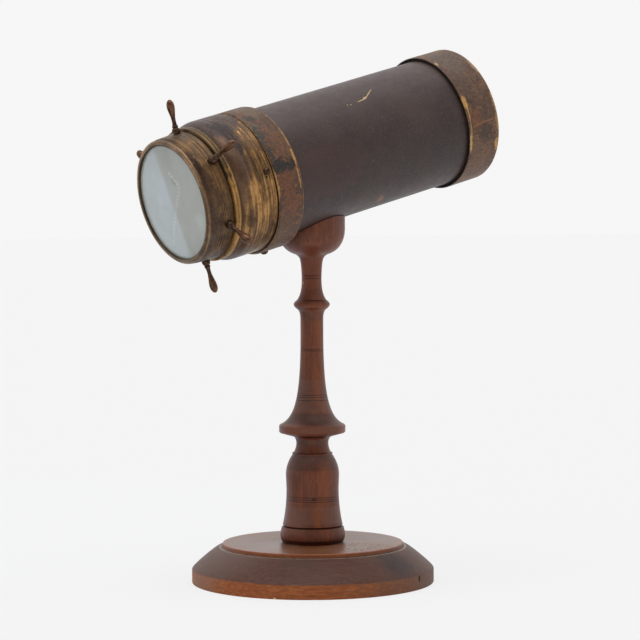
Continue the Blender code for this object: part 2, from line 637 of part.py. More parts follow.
def make_collar_screws(finish, drilled):
    """Three screws hold collar and liner to the tube. Their pilot holes stop inside the tube's wall."""
    station = COLLAR_REAR - SCREW_SETBACK
    seat = COLLAR_RADIUS + FIT_GAP
    drill = radial_drill("collar_screw_drill", SCREW_SHANK_RADIUS + FIT_GAP, seat - SCREW_LENGTH - FIT_GAP,
                         seat + CUT_OVERRUN, station, SCREW_ANGLES_DEG, BARREL_AXIS)
    for piece in drilled:
        cut(piece, drill)
    profile = round_head_profile(SCREW_HEAD_RADIUS, SCREW_HEAD_HEIGHT, SCREW_SHANK_RADIUS, SCREW_LENGTH,
                                 SCREW_POINT_LENGTH)
    for number, angle_deg in enumerate(SCREW_ANGLES_DEG, 1):
        radial_piece(f"collar_screw_{number}", profile, angle_deg, station, seat, SCREW_STEPS, finish,
                     BARREL_AXIS)


def make_band_pin(finish, band):
    station = -(BAND_REAR_REACH + BAND_WIDTH) + PIN_SETBACK
    seat = band_seat(PIN_ANGLE_DEG) + FIT_GAP
    length = seat - barrel_radius(station) - PIN_TIP_GAP
    drill = radial_drill("band_pin_drill", PIN_SHANK_RADIUS + FIT_GAP, barrel_radius(station),
                         seat + CUT_OVERRUN, station, (PIN_ANGLE_DEG,), BARREL_AXIS)
    cut(band, drill)
    profile = round_head_profile(PIN_HEAD_RADIUS, PIN_HEAD_HEIGHT, PIN_SHANK_RADIUS, length,
                                 PIN_SHANK_RADIUS)
    return radial_piece("band_pin", profile, PIN_ANGLE_DEG, station, seat, SCREW_STEPS, finish,
                        BARREL_AXIS)


def make_saddle_screws(finish, drilled):
    """Two wood screws from inside the tube, through tube and covering, into the cup."""
    down_deg = 270.0
    stations = saddle_screw_stations()
    drill_radius = SADDLE_SCREW_SHANK_RADIUS + FIT_GAP
    for name, station in zip(("front", "rear"), stations):
        seat = math.sqrt(tube_bore(station) ** 2 - SADDLE_SCREW_HEAD_RADIUS ** 2) - FIT_GAP
        drill_end = seat + SADDLE_SCREW_LENGTH + FIT_GAP
        drill = radial_drill(f"saddle_screw_{name}_drill", drill_radius, seat - CUT_OVERRUN, drill_end,
                             station, (down_deg,), BARREL_AXIS)
        for piece in drilled:
            cut(piece, drill)
        profile = round_head_profile(SADDLE_SCREW_HEAD_RADIUS, SADDLE_SCREW_HEAD_HEIGHT,
                                     SADDLE_SCREW_SHANK_RADIUS, SADDLE_SCREW_LENGTH, SCREW_POINT_LENGTH)
        screw = turned(f"saddle_screw_{name}", profile, SCREW_STEPS, finish, BARREL_AXIS)
        flip = Matrix.Rotation(math.pi, 4, "X")
        screw.matrix_local = radial_matrix(down_deg, station, seat) @ flip


def prism(name, outline, low, high, finish=None, parent=None, collection=PARTS):
    """A flat outline of (x, y) points, extruded along Z from low to high."""
    mesh = bpy.data.meshes.new(name)
    shape = bmesh.new()
    face = shape.faces.new([shape.verts.new((x, y, low)) for x, y in outline])
    pulled = bmesh.ops.extrude_face_region(shape, geom=[face])["geom"]
    top = [v for v in pulled if isinstance(v, bmesh.types.BMVert)]
    bmesh.ops.translate(shape, verts=top, vec=(0, 0, high - low))
    bmesh.ops.recalc_face_normals(shape, faces=shape.faces)
    shape.to_mesh(mesh)
    shape.free()
    return add_object(name, mesh, finish, parent, collection)


def make_mirrors(glass, card, former_finish):
    """Two mirrors in a V with its apex down, a black card over them, and two discs that hold them."""
    half_angle = math.radians(MIRROR_HALF_ANGLE_DEG)
    front = TUBE_FRONT + MIRROR_FRONT_CLEARANCE
    rear = TUBE_REAR_REACH - MIRROR_REAR_CLEARANCE
    up = Vector((-math.cos(half_angle), math.sin(half_angle)))
    out = Vector((math.sin(half_angle), math.cos(half_angle)))
    bore = tube_bore(TUBE_FRONT)
    apex = Vector((bore - MIRROR_APEX_SETBACK, 0))
    side_length = (bore + apex.x - MIRROR_TOP_SETBACK) / math.cos(half_angle)
    low = apex + up * MIRROR_EDGE_SETBACK
    high = apex + up * side_length
    section = [low, high, high + out * MIRROR_THICKNESS, low + out * MIRROR_THICKNESS]
    for name, side in (("mirror_left", 1), ("mirror_right", -1)):
        prism(name, [(p.x, p.y * side) for p in section], front, rear, glass, BARREL_AXIS)

    cover_low = high.x - FIT_GAP
    cover_half = section[2].y
    cover_high = cover_low - MIRROR_COVER_THICKNESS
    cover = [(cover_low, cover_half), (cover_high, cover_half)]
    cover += [(x, -y) for x, y in reversed(cover)]
    prism("mirror_cover", cover, front, rear, card, BARREL_AXIS)

    hole_low = section[3] + out * FIT_GAP
    floor = section[3].x + FIT_GAP
    hole_top = cover_high - FIT_GAP
    floor_half = section[3].y + FIT_GAP
    top_half = hole_low.y + (hole_low.x - hole_top) * math.tan(half_angle)
    hole = [(floor, floor_half), (hole_top, top_half)]
    hole += [(x, -y) for x, y in reversed(hole)]
    places = (("front", TUBE_FRONT + FRONT_FORMER_INSET), ("rear", TUBE_REAR_REACH - REAR_FORMER_INSET))
    for name, station in places:
        end = station + FORMER_THICKNESS
        edge = tube_bore(station) - FIT_GAP
        former = turned(f"mirror_former_{name}", disc_profile(edge, station, end), RING_STEPS,
                        former_finish, BARREL_AXIS)
        cut(former, guide(prism(f"former_{name}_cutter", hole, station - CUT_OVERRUN, end + CUT_OVERRUN,
                                parent=BARREL_AXIS, collection=CUTTERS)))


def make_eye_cap(leather, pasteboard, card, glass, brass):
    edge = CAP_RADIUS - CAP_ROUND
    rim_bore = CAP_BORE - CAP_RIM_WIDTH
    skirt_outer = rounded((edge, CAP_REAR - CAP_ROUND), CAP_ROUND, 90, 0)
    skirt_outer += rounded((edge, CAP_FRONT + CAP_ROUND), CAP_ROUND, 0, -90)
    skirt_inner = [(CAP_BORE, CAP_FRONT), (CAP_BORE, CAP_RIM_FRONT)]
    skirt_inner += [(rim_bore, CAP_RIM_FRONT), (rim_bore, CAP_REAR)]
    ring("cap_skirt", skirt_outer, skirt_inner, leather, CAP_AXIS)

    lining_ends = (EYE_DISC_FRONT - FIT_GAP, CAP_FRONT + FIT_GAP)
    ring("cap_lining", [(CAP_LINING_RADIUS, s) for s in lining_ends],
         [(CAP_LINING_BORE, s) for s in reversed(lining_ends)], pasteboard, CAP_AXIS)

    recess_radius = EYE_GLASS_RADIUS + FIT_GAP
    recess_floor = EYE_DISC_FRONT + EYE_GLASS_THICKNESS + FIT_GAP
    ring("eye_disc", [(CAP_LINING_RADIUS, EYE_DISC_REAR), (CAP_LINING_RADIUS, EYE_DISC_FRONT)],
         [(recess_radius, EYE_DISC_FRONT), (recess_radius, recess_floor), (EYE_HOLE_RADIUS, recess_floor),
          (EYE_HOLE_RADIUS, EYE_DISC_REAR)], card, CAP_AXIS)
    turned("eye_glass", disc_profile(EYE_GLASS_RADIUS, EYE_DISC_FRONT, EYE_DISC_FRONT + EYE_GLASS_THICKNESS),
           EYE_STEPS, glass, CAP_AXIS)

    keeper_rear = EYE_DISC_FRONT - FIT_GAP
    keeper_front = keeper_rear - EYE_KEEPER_THICKNESS
    keeper_ends = (keeper_rear, keeper_front)
    ring("eye_glass_keeper", [(EYE_KEEPER_RADIUS, s) for s in keeper_ends],
         [(EYE_KEEPER_HOLE_RADIUS, s) for s in reversed(keeper_ends)], card, CAP_AXIS, EYE_STEPS)

    flange_front = EYE_DISC_REAR + FIT_GAP
    flange_rear = flange_front + EYELET_FLANGE_THICKNESS
    eyelet_radius = EYE_HOLE_RADIUS - FIT_GAP
    eyelet_bore = eyelet_radius - EYELET_WALL
    ring("eyelet", [(eyelet_bore + EYELET_FLANGE_THICKNESS, flange_rear), (EYELET_FLANGE_RADIUS, flange_rear),
                    (EYELET_FLANGE_RADIUS, flange_front), (eyelet_radius, flange_front),
                    (eyelet_radius, recess_floor)],
         [(eyelet_bore, recess_floor), (eyelet_bore, flange_front)], brass, CAP_AXIS, EYE_STEPS)


def make_case_drum(brass):
    """The drum's bore ends in a ledge for the inner glass. A thinner spigot runs in the collar's lip."""
    ledge = DRUM_REAR - GLASS_LEDGE_THICKNESS
    rear_edge = drum_radius(DRUM_REAR) - DRUM_EDGE_ROUND
    outer = [(SPIGOT_RADIUS, KEEPER_REAR), (SPIGOT_RADIUS, DRUM_REAR), (rear_edge, DRUM_REAR)]
    outer += [(drum_radius(DRUM_REAR), DRUM_REAR - DRUM_EDGE_ROUND)]
    outer += [(drum_radius(DRUM_FRONT), DRUM_FRONT)]
    inner = [(DRUM_BORE_RADIUS, DRUM_FRONT), (DRUM_BORE_RADIUS, ledge)]
    inner += [(SPIGOT_BORE, ledge), (SPIGOT_BORE, KEEPER_REAR)]
    drum = ring("case_drum", outer, inner, brass, CASE_AXIS)

    keeper_bore = SPIGOT_RADIUS + FIT_GAP
    ring("keeper_ring", [(KEEPER_RADIUS, KEEPER_REAR), (KEEPER_RADIUS, KEEPER_FRONT)],
         [(keeper_bore, KEEPER_FRONT), (keeper_bore, KEEPER_REAR)], brass, CASE_AXIS)
    return drum


def make_bezel(brass):
    """A rounded rim with a lip over the glass and a skirt that fits inside the drum."""
    crest_radius = BEZEL_LIP_RADIUS + (BEZEL_RADIUS - BEZEL_LIP_RADIUS) * BEZEL_CREST_SHARE
    crest = (crest_radius, BEZEL_FRONT)
    lip_rear = BEZEL_FRONT + BEZEL_LIP_THICKNESS
    side = (BEZEL_RADIUS, lip_rear)
    skirt_rear = BEZEL_REAR + BEZEL_SKIRT_LENGTH
    outer = [(BEZEL_SKIRT_RADIUS, skirt_rear), (BEZEL_SKIRT_RADIUS, BEZEL_REAR)]
    outer += [(BEZEL_RADIUS, BEZEL_REAR), side]
    outer += reversed([crest, *flow(crest, side, BEZEL_OUTER_SHARES, 4)[:-1]])
    inner = [(BEZEL_LIP_RADIUS, (BEZEL_FRONT + lip_rear) / 2), (BEZEL_LIP_RADIUS, lip_rear)]
    inner += [(BEZEL_SKIRT_BORE, lip_rear), (BEZEL_SKIRT_BORE, skirt_rear)]
    return ring("bezel_ring", outer, inner, brass, CASE_AXIS)


def make_cell(ground_glass, clear_glass, finish):
    turned("front_glass", disc_profile(FRONT_GLASS_RADIUS, FRONT_GLASS_FRONT, FRONT_GLASS_REAR), RING_STEPS,
           ground_glass, CASE_AXIS)
    inner_radius = DRUM_BORE_RADIUS - FIT_GAP
    turned("inner_glass", disc_profile(inner_radius, INNER_GLASS_FRONT, INNER_GLASS_REAR), RING_STEPS,
           clear_glass, CASE_AXIS)
    ring("cell_spacer", [(FRONT_GLASS_RADIUS, CELL_REAR), (FRONT_GLASS_RADIUS, CELL_FRONT)],
         [(CELL_RADIUS, CELL_FRONT), (CELL_RADIUS, CELL_REAR)], finish, CASE_AXIS)


def bend_over(spoke, profile, along, around):
    """A knock has bent this handle. Its foot stays in place, as its points have no weight."""
    tip = max(height for _, height in profile)
    bent = spoke.vertex_groups.new(name="bent")
    for index, (_, height) in enumerate(profile):
        bent.add([index], max(0.0, height / tip), "REPLACE")
    for direction, shift in (("X", along), ("Y", -around)):
        step = spoke.modifiers.new("bend", "DISPLACE")
        step.direction = direction
        step.strength = shift
        step.mid_level = 0
        step.vertex_group = bent.name


def make_spokes(brass, drum):
    """Turned handles like those of a ship's wheel, each riveted through the drum's wall by a tenon."""
    station = DRUM_REAR - SPOKE_SETBACK
    seat = drum_radius(station + SPOKE_BOSS_RADIUS) + FIT_GAP
    wall_inside = DRUM_BORE_RADIUS + FIT_GAP / 2
    drill = radial_drill("spoke_drill", SPOKE_TENON_RADIUS + FIT_GAP, DRUM_BORE_RADIUS - CUT_OVERRUN,
                         seat + CUT_OVERRUN, station, SPOKE_ANGLES_DEG, CASE_AXIS)
    cut(drum, drill)
    widths = {"tip": 0, "bulb": SPOKE_BULB_RADIUS, "neck": SPOKE_NECK_RADIUS,
              "collar": SPOKE_COLLAR_RADIUS, "boss": SPOKE_BOSS_RADIUS}
    profile = [(widths[part] * across, SPOKE_LENGTH * along) for part, along, across in SPOKE_OUTLINE_SHARES]
    profile += [(SPOKE_TENON_RADIUS, 0), (SPOKE_TENON_RADIUS, wall_inside - seat), (0, wall_inside - seat)]
    bends = zip(SPOKE_ANGLES_DEG, SPOKE_BENDS_ALONG, SPOKE_BENDS_AROUND)
    for number, (angle_deg, along, around) in enumerate(bends, 1):
        spoke = radial_piece(f"spoke_{number}", profile, angle_deg, station, seat, SPOKE_STEPS, brass,
                             CASE_AXIS)
        if along or around:
            bend_over(spoke, profile, along, around)


def cell_point(across_share, up_share, station):
    """A point in the cell: across is towards +Y, and up is away from its floor."""
    return Vector((-up_share * CELL_RADIUS, across_share * CELL_RADIUS, station))


def against_front(radius):
    """The station of round pieces that lean on the front glass."""
    return CELL_FRONT + FIT_GAP + radius


def smooth_route(points, count):
    """Evenly numbered points on a Catmull-Rom curve through the given ones."""
    padded = [points[0] * 2 - points[1], *points, points[-1] * 2 - points[-2]]
    route = []
    for step in range(count):
        place = step / (count - 1) * (len(points) - 1)
        first = min(int(place), len(points) - 2)
        t = place - first
        a, b, c, d = padded[first:first + 4]
        route.append((b * 2 + (c - a) * t + (a * 2 - b * 5 + c * 4 - d) * t * t
                      + (b * 3 - a - c * 3 + d) * t ** 3) / 2)
    return route


def make_cane(finish):
    """A twisted glass cane: a two-lobed section swept along its route while it turns about it."""
    station = against_front(CANE_RADIUS)
    route = smooth_route([cell_point(*share, station) for share in CANE_ROUTE_SHARES], CANE_RINGS)
    mesh = bpy.data.meshes.new("glass_cane")
    shape = bmesh.new()
    depth_axis = Vector((0, 0, 1))
    rings = []
    for number, point in enumerate(route):
        ahead = route[min(number + 1, CANE_RINGS - 1)] - route[max(number - 1, 0)]
        side = ahead.normalized().cross(depth_axis)
        twist = 2 * math.pi * CANE_TURNS * number / (CANE_RINGS - 1) / CANE_LOBES
        verts = []
        for k in range(CANE_SECTION_POINTS):
            angle = 2 * math.pi * k / CANE_SECTION_POINTS
            radius = CANE_RADIUS * (1 - CANE_LOBE_SHARE * math.sin(CANE_LOBES * angle / 2) ** 2)
            turned_angle = angle + twist
            verts.append(shape.verts.new(point + side * radius * math.cos(turned_angle)
                                         + depth_axis * radius * math.sin(turned_angle)))
        rings.append(verts)
    for low, high in zip(rings, rings[1:]):
        for k in range(CANE_SECTION_POINTS):
            after = (k + 1) % CANE_SECTION_POINTS
            shape.faces.new((low[k], low[after], high[after], high[k]))
    shape.faces.new(rings[0])
    shape.faces.new(rings[-1])
    bmesh.ops.recalc_face_normals(shape, faces=shape.faces)
    shape.to_mesh(mesh)
    shape.free()
    return add_object("glass_cane", mesh, finish, GLASS_AXIS)


def floor_point(angle, reach, station):
    """A point at an angle from straight down towards +Y, and a reach from the cell's axis."""
    return Vector((reach * math.cos(angle), reach * math.sin(angle), station))


def ampoule_places():
    """Angle and reach of three ampoules: one at each side of the cane's foot, and one on the left one."""
    reach = math.sqrt((CELL_RADIUS - AMPOULE_RADIUS - FIT_GAP) ** 2 - (AMPOULE_LENGTH / 2) ** 2)
    half = math.atan2(AMPOULE_LENGTH / 2, reach - AMPOULE_RADIUS)
    left = math.radians(AMPOULE_LEFT_ANGLE_DEG)
    upper = left + math.radians(AMPOULE_UPPER_SHIFT_DEG)
    foot_across_share, foot_up_share = CANE_ROUTE_SHARES[0]
    cane_foot = math.atan2(foot_across_share, -foot_up_share)
    right = cane_foot + (CANE_RADIUS + AMPOULE_RIGHT_GAP) / reach + half
    return half, ((left, reach), (right, reach), (upper, reach - AMPOULE_RADIUS * 2 - FIT_GAP))


def bead_places():
    """Two beads lie side by side beyond the left ampoule, and one on the right ampoule."""
    half, (left, right, _) = ampoule_places()
    reach = CELL_RADIUS - BEAD_BALL_RADIUS - FIT_GAP
    step = 2 * math.asin((BEAD_BALL_RADIUS + BEAD_SPACING / 2) / reach)
    first = left[0] - half - step / 2
    upper_reach = right[1] - AMPOULE_RADIUS - BEAD_BALL_RADIUS - FIT_GAP
    upper = right[0] + math.radians(BEAD_UPPER_SHIFT_DEG)
    return (first, reach), (first - step, reach), (upper, upper_reach)


def lying_matrix(angle, reach, station):
    """Lays a long piece, whose own Z is its length, along the cell's floor."""
    direction = Vector((-math.sin(angle), math.cos(angle), 0))
    place = Matrix.Translation(floor_point(angle, reach, station))
    return place @ direction.to_track_quat("Z", "X").to_matrix().to_4x4()


def make_ampoules():
    profile = [(AMPOULE_RADIUS * across, AMPOULE_LENGTH * (along - 0.5))
               for along, across in AMPOULE_OUTLINE_SHARES]
    _, places = ampoule_places()
    for number, (place, colour) in enumerate(zip(places, AMPOULE_COLOURS), 1):
        finish = material(f"ampoule_glass_{number}", colour, 0.05, alpha=0.6)
        ampoule = turned(f"ampoule_{number}", profile, SPOKE_STEPS, finish, GLASS_AXIS)
        ampoule.matrix_local = lying_matrix(*place, against_front(AMPOULE_RADIUS))


def make_beads():
    for number, (place, colour) in enumerate(zip(bead_places(), BEAD_COLOURS), 1):
        mesh = bpy.data.meshes.new(f"bead_{number}")
        shape = bmesh.new()
        bmesh.ops.create_uvsphere(shape, u_segments=BEAD_STEPS, v_segments=BEAD_RINGS,
                                  radius=BEAD_BALL_RADIUS)
        shape.to_mesh(mesh)
        shape.free()
        bead = add_object(f"bead_{number}", mesh, material(f"bead_glass_{number}", colour, 0.08), GLASS_AXIS)
        bead.location = floor_point(*place, against_front(BEAD_BALL_RADIUS))


def make_shards():
    """Flat chips with three to five corners, in a layer of their own against the inner glass."""
    half = SHARD_THICKNESS / 2
    reach = CELL_RADIUS - SHARD_RADIUS - SHARD_EDGE_GAP
    looks = zip(SHARD_CORNERS, SHARD_ANGLES_DEG, SHARD_TURNS_DEG, SHARD_COLOURS)
    for number, (corners, angle_deg, turn_deg, colour) in enumerate(looks, 1):
        spread = [2 * math.pi * k / corners for k in range(corners)]
        outline = [(SHARD_RADIUS * math.cos(a), SHARD_RADIUS * math.sin(a)) for a in spread]
        finish = material(f"shard_glass_{number}", colour, 0.06, alpha=0.6)
        shard = prism(f"shard_{number}", outline, -half, half, finish, GLASS_AXIS)
        shard.location = floor_point(math.radians(angle_deg), reach, CELL_REAR - FIT_GAP - half)
        shard.rotation_euler = (0, 0, math.radians(turn_deg))


def smooth_round_pieces():
    for piece in PARTS.objects:
        if piece.type == "MESH" and piece.data.polygons:
            piece.data.shade_smooth()
            piece.data.set_sharp_from_angle(angle=math.radians(SMOOTH_ANGLE_DEG))


def build():
    base_wood = material("base_walnut", (0.16, 0.09, 0.06), 0.45)
    column_wood = material("column_walnut", (0.14, 0.06, 0.035), 0.38)
    pasteboard = material("pasteboard", (0.38, 0.28, 0.18), 0.85)
    covering = material("dark_covering", (0.075, 0.055, 0.05), 0.55)
    leather = material("worn_leather", (0.17, 0.10, 0.06), 0.6)
    cap_leather = material("cap_leather", (0.16, 0.10, 0.06), 0.6)
    collar_brass = material("collar_brass", (0.33, 0.22, 0.11), 0.4, 1.0)
    case_brass = material("case_brass", (0.28, 0.18, 0.10), 0.42, 1.0)
    bezel_brass = material("bezel_brass", (0.30, 0.20, 0.11), 0.38, 1.0)
    spoke_brass = material("spoke_brass", (0.16, 0.10, 0.07), 0.45, 1.0)
    dark_steel = material("dark_steel", (0.10, 0.08, 0.07), 0.45, 1.0)
    mirror = material("mirror_silver", (0.85, 0.86, 0.86), 0.03, 1.0)
    black_card = material("black_card", (0.02, 0.02, 0.02), 0.9)
    former_wood = material("former_wood", (0.45, 0.32, 0.20), 0.8)
    ground_glass = material("ground_glass", (0.60, 0.64, 0.62), 0.35, alpha=0.7)
    clear_glass = material("clear_glass", (0.80, 0.84, 0.82), 0.05, alpha=0.3)

    make_base(base_wood)
    column = make_column(column_wood)
    tube, skin = make_barrel(pasteboard, covering)
    band = make_front_band(leather)
    collar, liner = make_collar(collar_brass, pasteboard)
    make_collar_screws(dark_steel, (collar, liner, tube))
    make_band_pin(dark_steel, band)
    make_saddle_screws(dark_steel, (tube, skin, column))
    make_mirrors(mirror, black_card, former_wood)
    make_eye_cap(cap_leather, pasteboard, black_card, clear_glass, collar_brass)
    drum = make_case_drum(case_brass)
    make_bezel(bezel_brass)
    make_cell(ground_glass, clear_glass, black_card)
    make_spokes(spoke_brass, drum)
    make_cane(material("cane_glass", (0.85, 0.88, 0.86), 0.10, alpha=0.6))
    make_ampoules()
    make_beads()
    make_shards()
    smooth_round_pieces()


build()
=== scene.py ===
# %% [markdown]
# A parlour kaleidoscope of about 1875: a dark pasteboard barrel with a brass object case, on a stand
# turned from walnut. Its construction comes as a frame of plain solids at their real size. This lesson
# gives it its looks: each piece that shows is turned again in fine steps, and each finish is built up
# from the wear that the real one has.
# %% Load the frame
import json
import math

import bmesh
import bpy
from mathutils import Euler, Matrix, Vector, noise


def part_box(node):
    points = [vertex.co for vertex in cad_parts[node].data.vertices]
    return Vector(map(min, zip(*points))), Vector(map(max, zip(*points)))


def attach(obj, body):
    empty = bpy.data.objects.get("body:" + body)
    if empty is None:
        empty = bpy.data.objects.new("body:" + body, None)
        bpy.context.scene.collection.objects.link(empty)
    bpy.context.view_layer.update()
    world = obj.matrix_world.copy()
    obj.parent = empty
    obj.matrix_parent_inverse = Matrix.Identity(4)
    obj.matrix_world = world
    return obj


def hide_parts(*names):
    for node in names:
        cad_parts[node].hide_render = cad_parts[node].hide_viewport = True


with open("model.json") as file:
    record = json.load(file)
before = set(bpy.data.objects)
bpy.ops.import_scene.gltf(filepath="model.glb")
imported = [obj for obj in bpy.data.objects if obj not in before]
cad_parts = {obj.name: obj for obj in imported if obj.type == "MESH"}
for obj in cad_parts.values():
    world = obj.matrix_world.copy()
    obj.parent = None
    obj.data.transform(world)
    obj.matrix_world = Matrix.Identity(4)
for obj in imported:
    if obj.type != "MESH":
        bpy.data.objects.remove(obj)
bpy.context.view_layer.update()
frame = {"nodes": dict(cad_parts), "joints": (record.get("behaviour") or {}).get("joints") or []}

MM = 0.001

# %% [markdown]
# Everything on the barrel was turned or rolled about one slanted axis. Its pieces could be modelled in
# world coordinates and tilted one by one, but it is easier to have one matrix for the barrel. In its
# own frame Z runs along the barrel to the eye end, X points down and Y points away from the viewer.
# The case's joint gives both the axis and a point on it.
# %% The barrel's own frame
spin_joint = next(joint for joint in frame["joints"] if joint["name"] == "case_spin")
AXIS_POINT = Vector(spin_joint["pos_m"])
AXIS = Vector(spin_joint["axis"]).normalized()
TILT = math.atan2(AXIS.z, AXIS.x)
BARREL_TURN = Euler((0, math.pi / 2 - TILT, 0))
BARREL = Matrix.Translation(AXIS_POINT) @ BARREL_TURN.to_matrix().to_4x4()
TO_BARREL = BARREL.inverted()
WORLD = Matrix.Identity(4)


def barrel_points(node):
    """The corners of a node in the barrel's frame, in metres."""
    return [TO_BARREL @ v.co for v in frame["nodes"][node].data.vertices]


def reach(node):
    """Front and rear station and greatest radius of a node, in the barrel's frame, in millimetres."""
    points = [p / MM for p in barrel_points(node)]
    stations = [p.z for p in points]
    return min(stations), max(stations), max(math.hypot(p.x, p.y) for p in points)


print("tilt", round(math.degrees(TILT), 2), "degrees, barrel from",
      [round(s, 1) for s in reach("barrel_tube")])

# %% [markdown]
# The camera stood about 1.5 metres away, a little above the collar, with a long lens. A long lens
# keeps the round base from swelling towards the viewer. The camera's place was found by matching the
# edges of the turned circles, so it is given as real lengths and angles.
# %% The camera
CAMERA_PLACE = Vector((-0.8328, -1.1926, 0.2257))
CAMERA_YAW = math.radians(35.13)
CAMERA_DIP = math.radians(2.40)
CAMERA_ROLL = math.radians(0.25)
LENS_MM = 130.3
SENSOR_MM = 36.0
IMAGE_PIXELS = 640

level_share = math.cos(CAMERA_DIP)
forward = Vector((math.sin(CAMERA_YAW) * level_share, math.cos(CAMERA_YAW) * level_share,
                  -math.sin(CAMERA_DIP)))
level_right = forward.cross(Vector((0, 0, 1))).normalized()
level_up = level_right.cross(forward)
right = level_right * math.cos(CAMERA_ROLL) - level_up * math.sin(CAMERA_ROLL)
up = level_right * math.sin(CAMERA_ROLL) + level_up * math.cos(CAMERA_ROLL)

camera_data = bpy.data.cameras.new("studio_camera")
camera_data.lens = LENS_MM
camera_data.sensor_width = SENSOR_MM
camera = bpy.data.objects.new("studio_camera", camera_data)
bpy.context.scene.collection.objects.link(camera)
camera_turn = Matrix((right, up, -forward)).transposed()
camera.matrix_world = Matrix.Translation(CAMERA_PLACE) @ camera_turn.to_4x4()
bpy.context.scene.camera = camera


def sight(pixel):
    """The direction in which the camera sees a pixel of the square image."""
    scale = SENSOR_MM / LENS_MM / IMAGE_PIXELS
    across, down = pixel
    middle = IMAGE_PIXELS / 2
    return (forward + right * (across - middle) * scale + up * (middle - down) * scale).normalized()


def seen_on_round(pixel, radius, place=BARREL):
    """Where the sight line of a pixel meets a turned surface of that radius, in the frame of place."""
    inverse = place.inverted()
    start = inverse @ CAMERA_PLACE
    way = inverse.to_3x3() @ sight(pixel)
    a = way.x ** 2 + way.y ** 2
    b = start.x * way.x + start.y * way.y
    c = start.x ** 2 + start.y ** 2 - (radius * MM) ** 2
    steps = (-b - math.sqrt(max(b * b - a * c, 0))) / a
    return start + way * steps


print("camera height", round(CAMERA_PLACE.z / MM), "mm, distance", round(CAMERA_PLACE.length / MM), "mm")

# %% [markdown]
# Nodes for the finishes are added by a few short helpers. A finish could be wired by hand in the
# shader editor, but in a script a helper that makes a node and plugs in its inputs keeps each finish
# down to the lines that say what it looks like. Colours are written as they are seen, 0 to 255.
# %% Helpers for finishes
def paint(red, green, blue):
    """A colour as it is seen on a screen, turned into the even scale that shaders use."""
    shares = [value / 255 for value in (red, green, blue)]
    return (*[s / 12.92 if s < 0.04045 else ((s + 0.055) / 1.055) ** 2.4 for s in shares], 1.0)


tree = None
shader = None
SOCKETS = {"colour": "Base Color", "rough": "Roughness", "metal": "Metallic", "normal": "Normal",
           "shine": "Specular IOR Level", "clear": "Transmission Weight", "alpha": "Alpha",
           "coat": "Coat Weight", "coat_rough": "Coat Roughness", "coat_index": "Coat IOR"}


def plug(node, key, value):
    """Links the output of another node to an input, or sets a plain value on it."""
    if isinstance(value, bpy.types.NodeSocket):
        tree.links.new(value, node.inputs[key])
    else:
        node.inputs[key].default_value = value


def add_node(kind, inputs=None, **settings):
    """Adds a node to the tree that was begun last."""
    made = tree.nodes.new(kind)
    for key, value in settings.items():
        setattr(made, key, value)
    for key, value in (inputs or {}).items():
        plug(made, key, value)
    return made


def new_finish(name):
    """Begins a material, whose tree and shader the other helpers then work on."""
    global tree, shader
    made = bpy.data.materials.new(name)
    made.use_nodes = True
    tree = made.node_tree
    shader = tree.nodes["Principled BSDF"]
    return made


def wire(**sockets):
    """Sets what the shader takes. What is the same all over is a plain value on its own socket."""
    for key, value in sockets.items():
        plug(shader, SOCKETS[key], value)


def own_place(place=WORLD):
    """Object coordinates in the frame of place."""
    spot = add_node("ShaderNodeTexCoord").outputs["Object"]
    if place == WORLD:
        return spot
    turned_back = {"Vector": spot, "Location": place.to_translation(), "Rotation": place.to_euler()}
    return add_node("ShaderNodeMapping", turned_back, vector_type="TEXTURE").outputs["Vector"]


def stretched(vector, x, y, z):
    return add_node("ShaderNodeMapping", {"Vector": vector, "Scale": (x, y, z)}).outputs["Vector"]


def cloud(vector, size, detail=4.0, rough=0.55):
    """An uneven pattern of about 0.5, whose larger features are size millimetres across."""
    look = {"Vector": vector, "Scale": 1 / (size * MM), "Detail": detail, "Roughness": rough}
    return add_node("ShaderNodeTexNoise", look).outputs[0]


def between(value, low, high):
    """A smooth step from 0 at low to 1 at high. Low may be the greater one."""
    return add_node("ShaderNodeMapRange", {"Value": value, "From Min": low, "From Max": high},
                    interpolation_type="SMOOTHSTEP").outputs["Result"]


def maths(operation, first, second=0.0):
    return add_node("ShaderNodeMath", {0: first, 1: second}, operation=operation).outputs[0]


def plus(first, second):
    return maths("ADD", first, second)


def minus(first, second):
    return maths("SUBTRACT", first, second)


def scaled(value, low, high, new_low, new_high):
    """Spreads the values from low to high out over new_low to new_high."""
    ends = {"From Min": low, "From Max": high, "To Min": new_low, "To Max": new_high}
    return add_node("ShaderNodeMapRange", {"Value": value, **ends}).outputs["Result"]


def vectors(operation, first, second=(0, 0, 0), output=0):
    return add_node("ShaderNodeVectorMath", {0: first, 1: second}, operation=operation).outputs[output]


def either(*masks):
    result = masks[0]
    for mask in masks[1:]:
        result = maths("MAXIMUM", result, mask)
    return result


def both(*masks):
    result = masks[0]
    for mask in masks[1:]:
        result = maths("MULTIPLY", result, mask)
    return result


def blended(factor, under, over, kind="MIX"):
    """Lays a colour over another one, as far as the factor says. A plain colour is (red, green, blue)."""
    under, over = [paint(*c) if isinstance(c, tuple) and len(c) == 3 else c for c in (under, over)]
    return add_node("ShaderNodeMix", {0: factor, 6: under, 7: over}, data_type="RGBA",
                    blend_type=kind).outputs[2]


def laid(under, over, *masks):
    """Lays a colour over another one, as far as all the masks let it through."""
    return blended(both(*masks), under, over)


def axis_share(vector, axis):
    return add_node("ShaderNodeSeparateXYZ", {0: vector}).outputs[axis]


def radius_from(vector):
    flat = vectors("MULTIPLY", vector, (1, 1, 0))
    return vectors("LENGTH", flat, output=1)


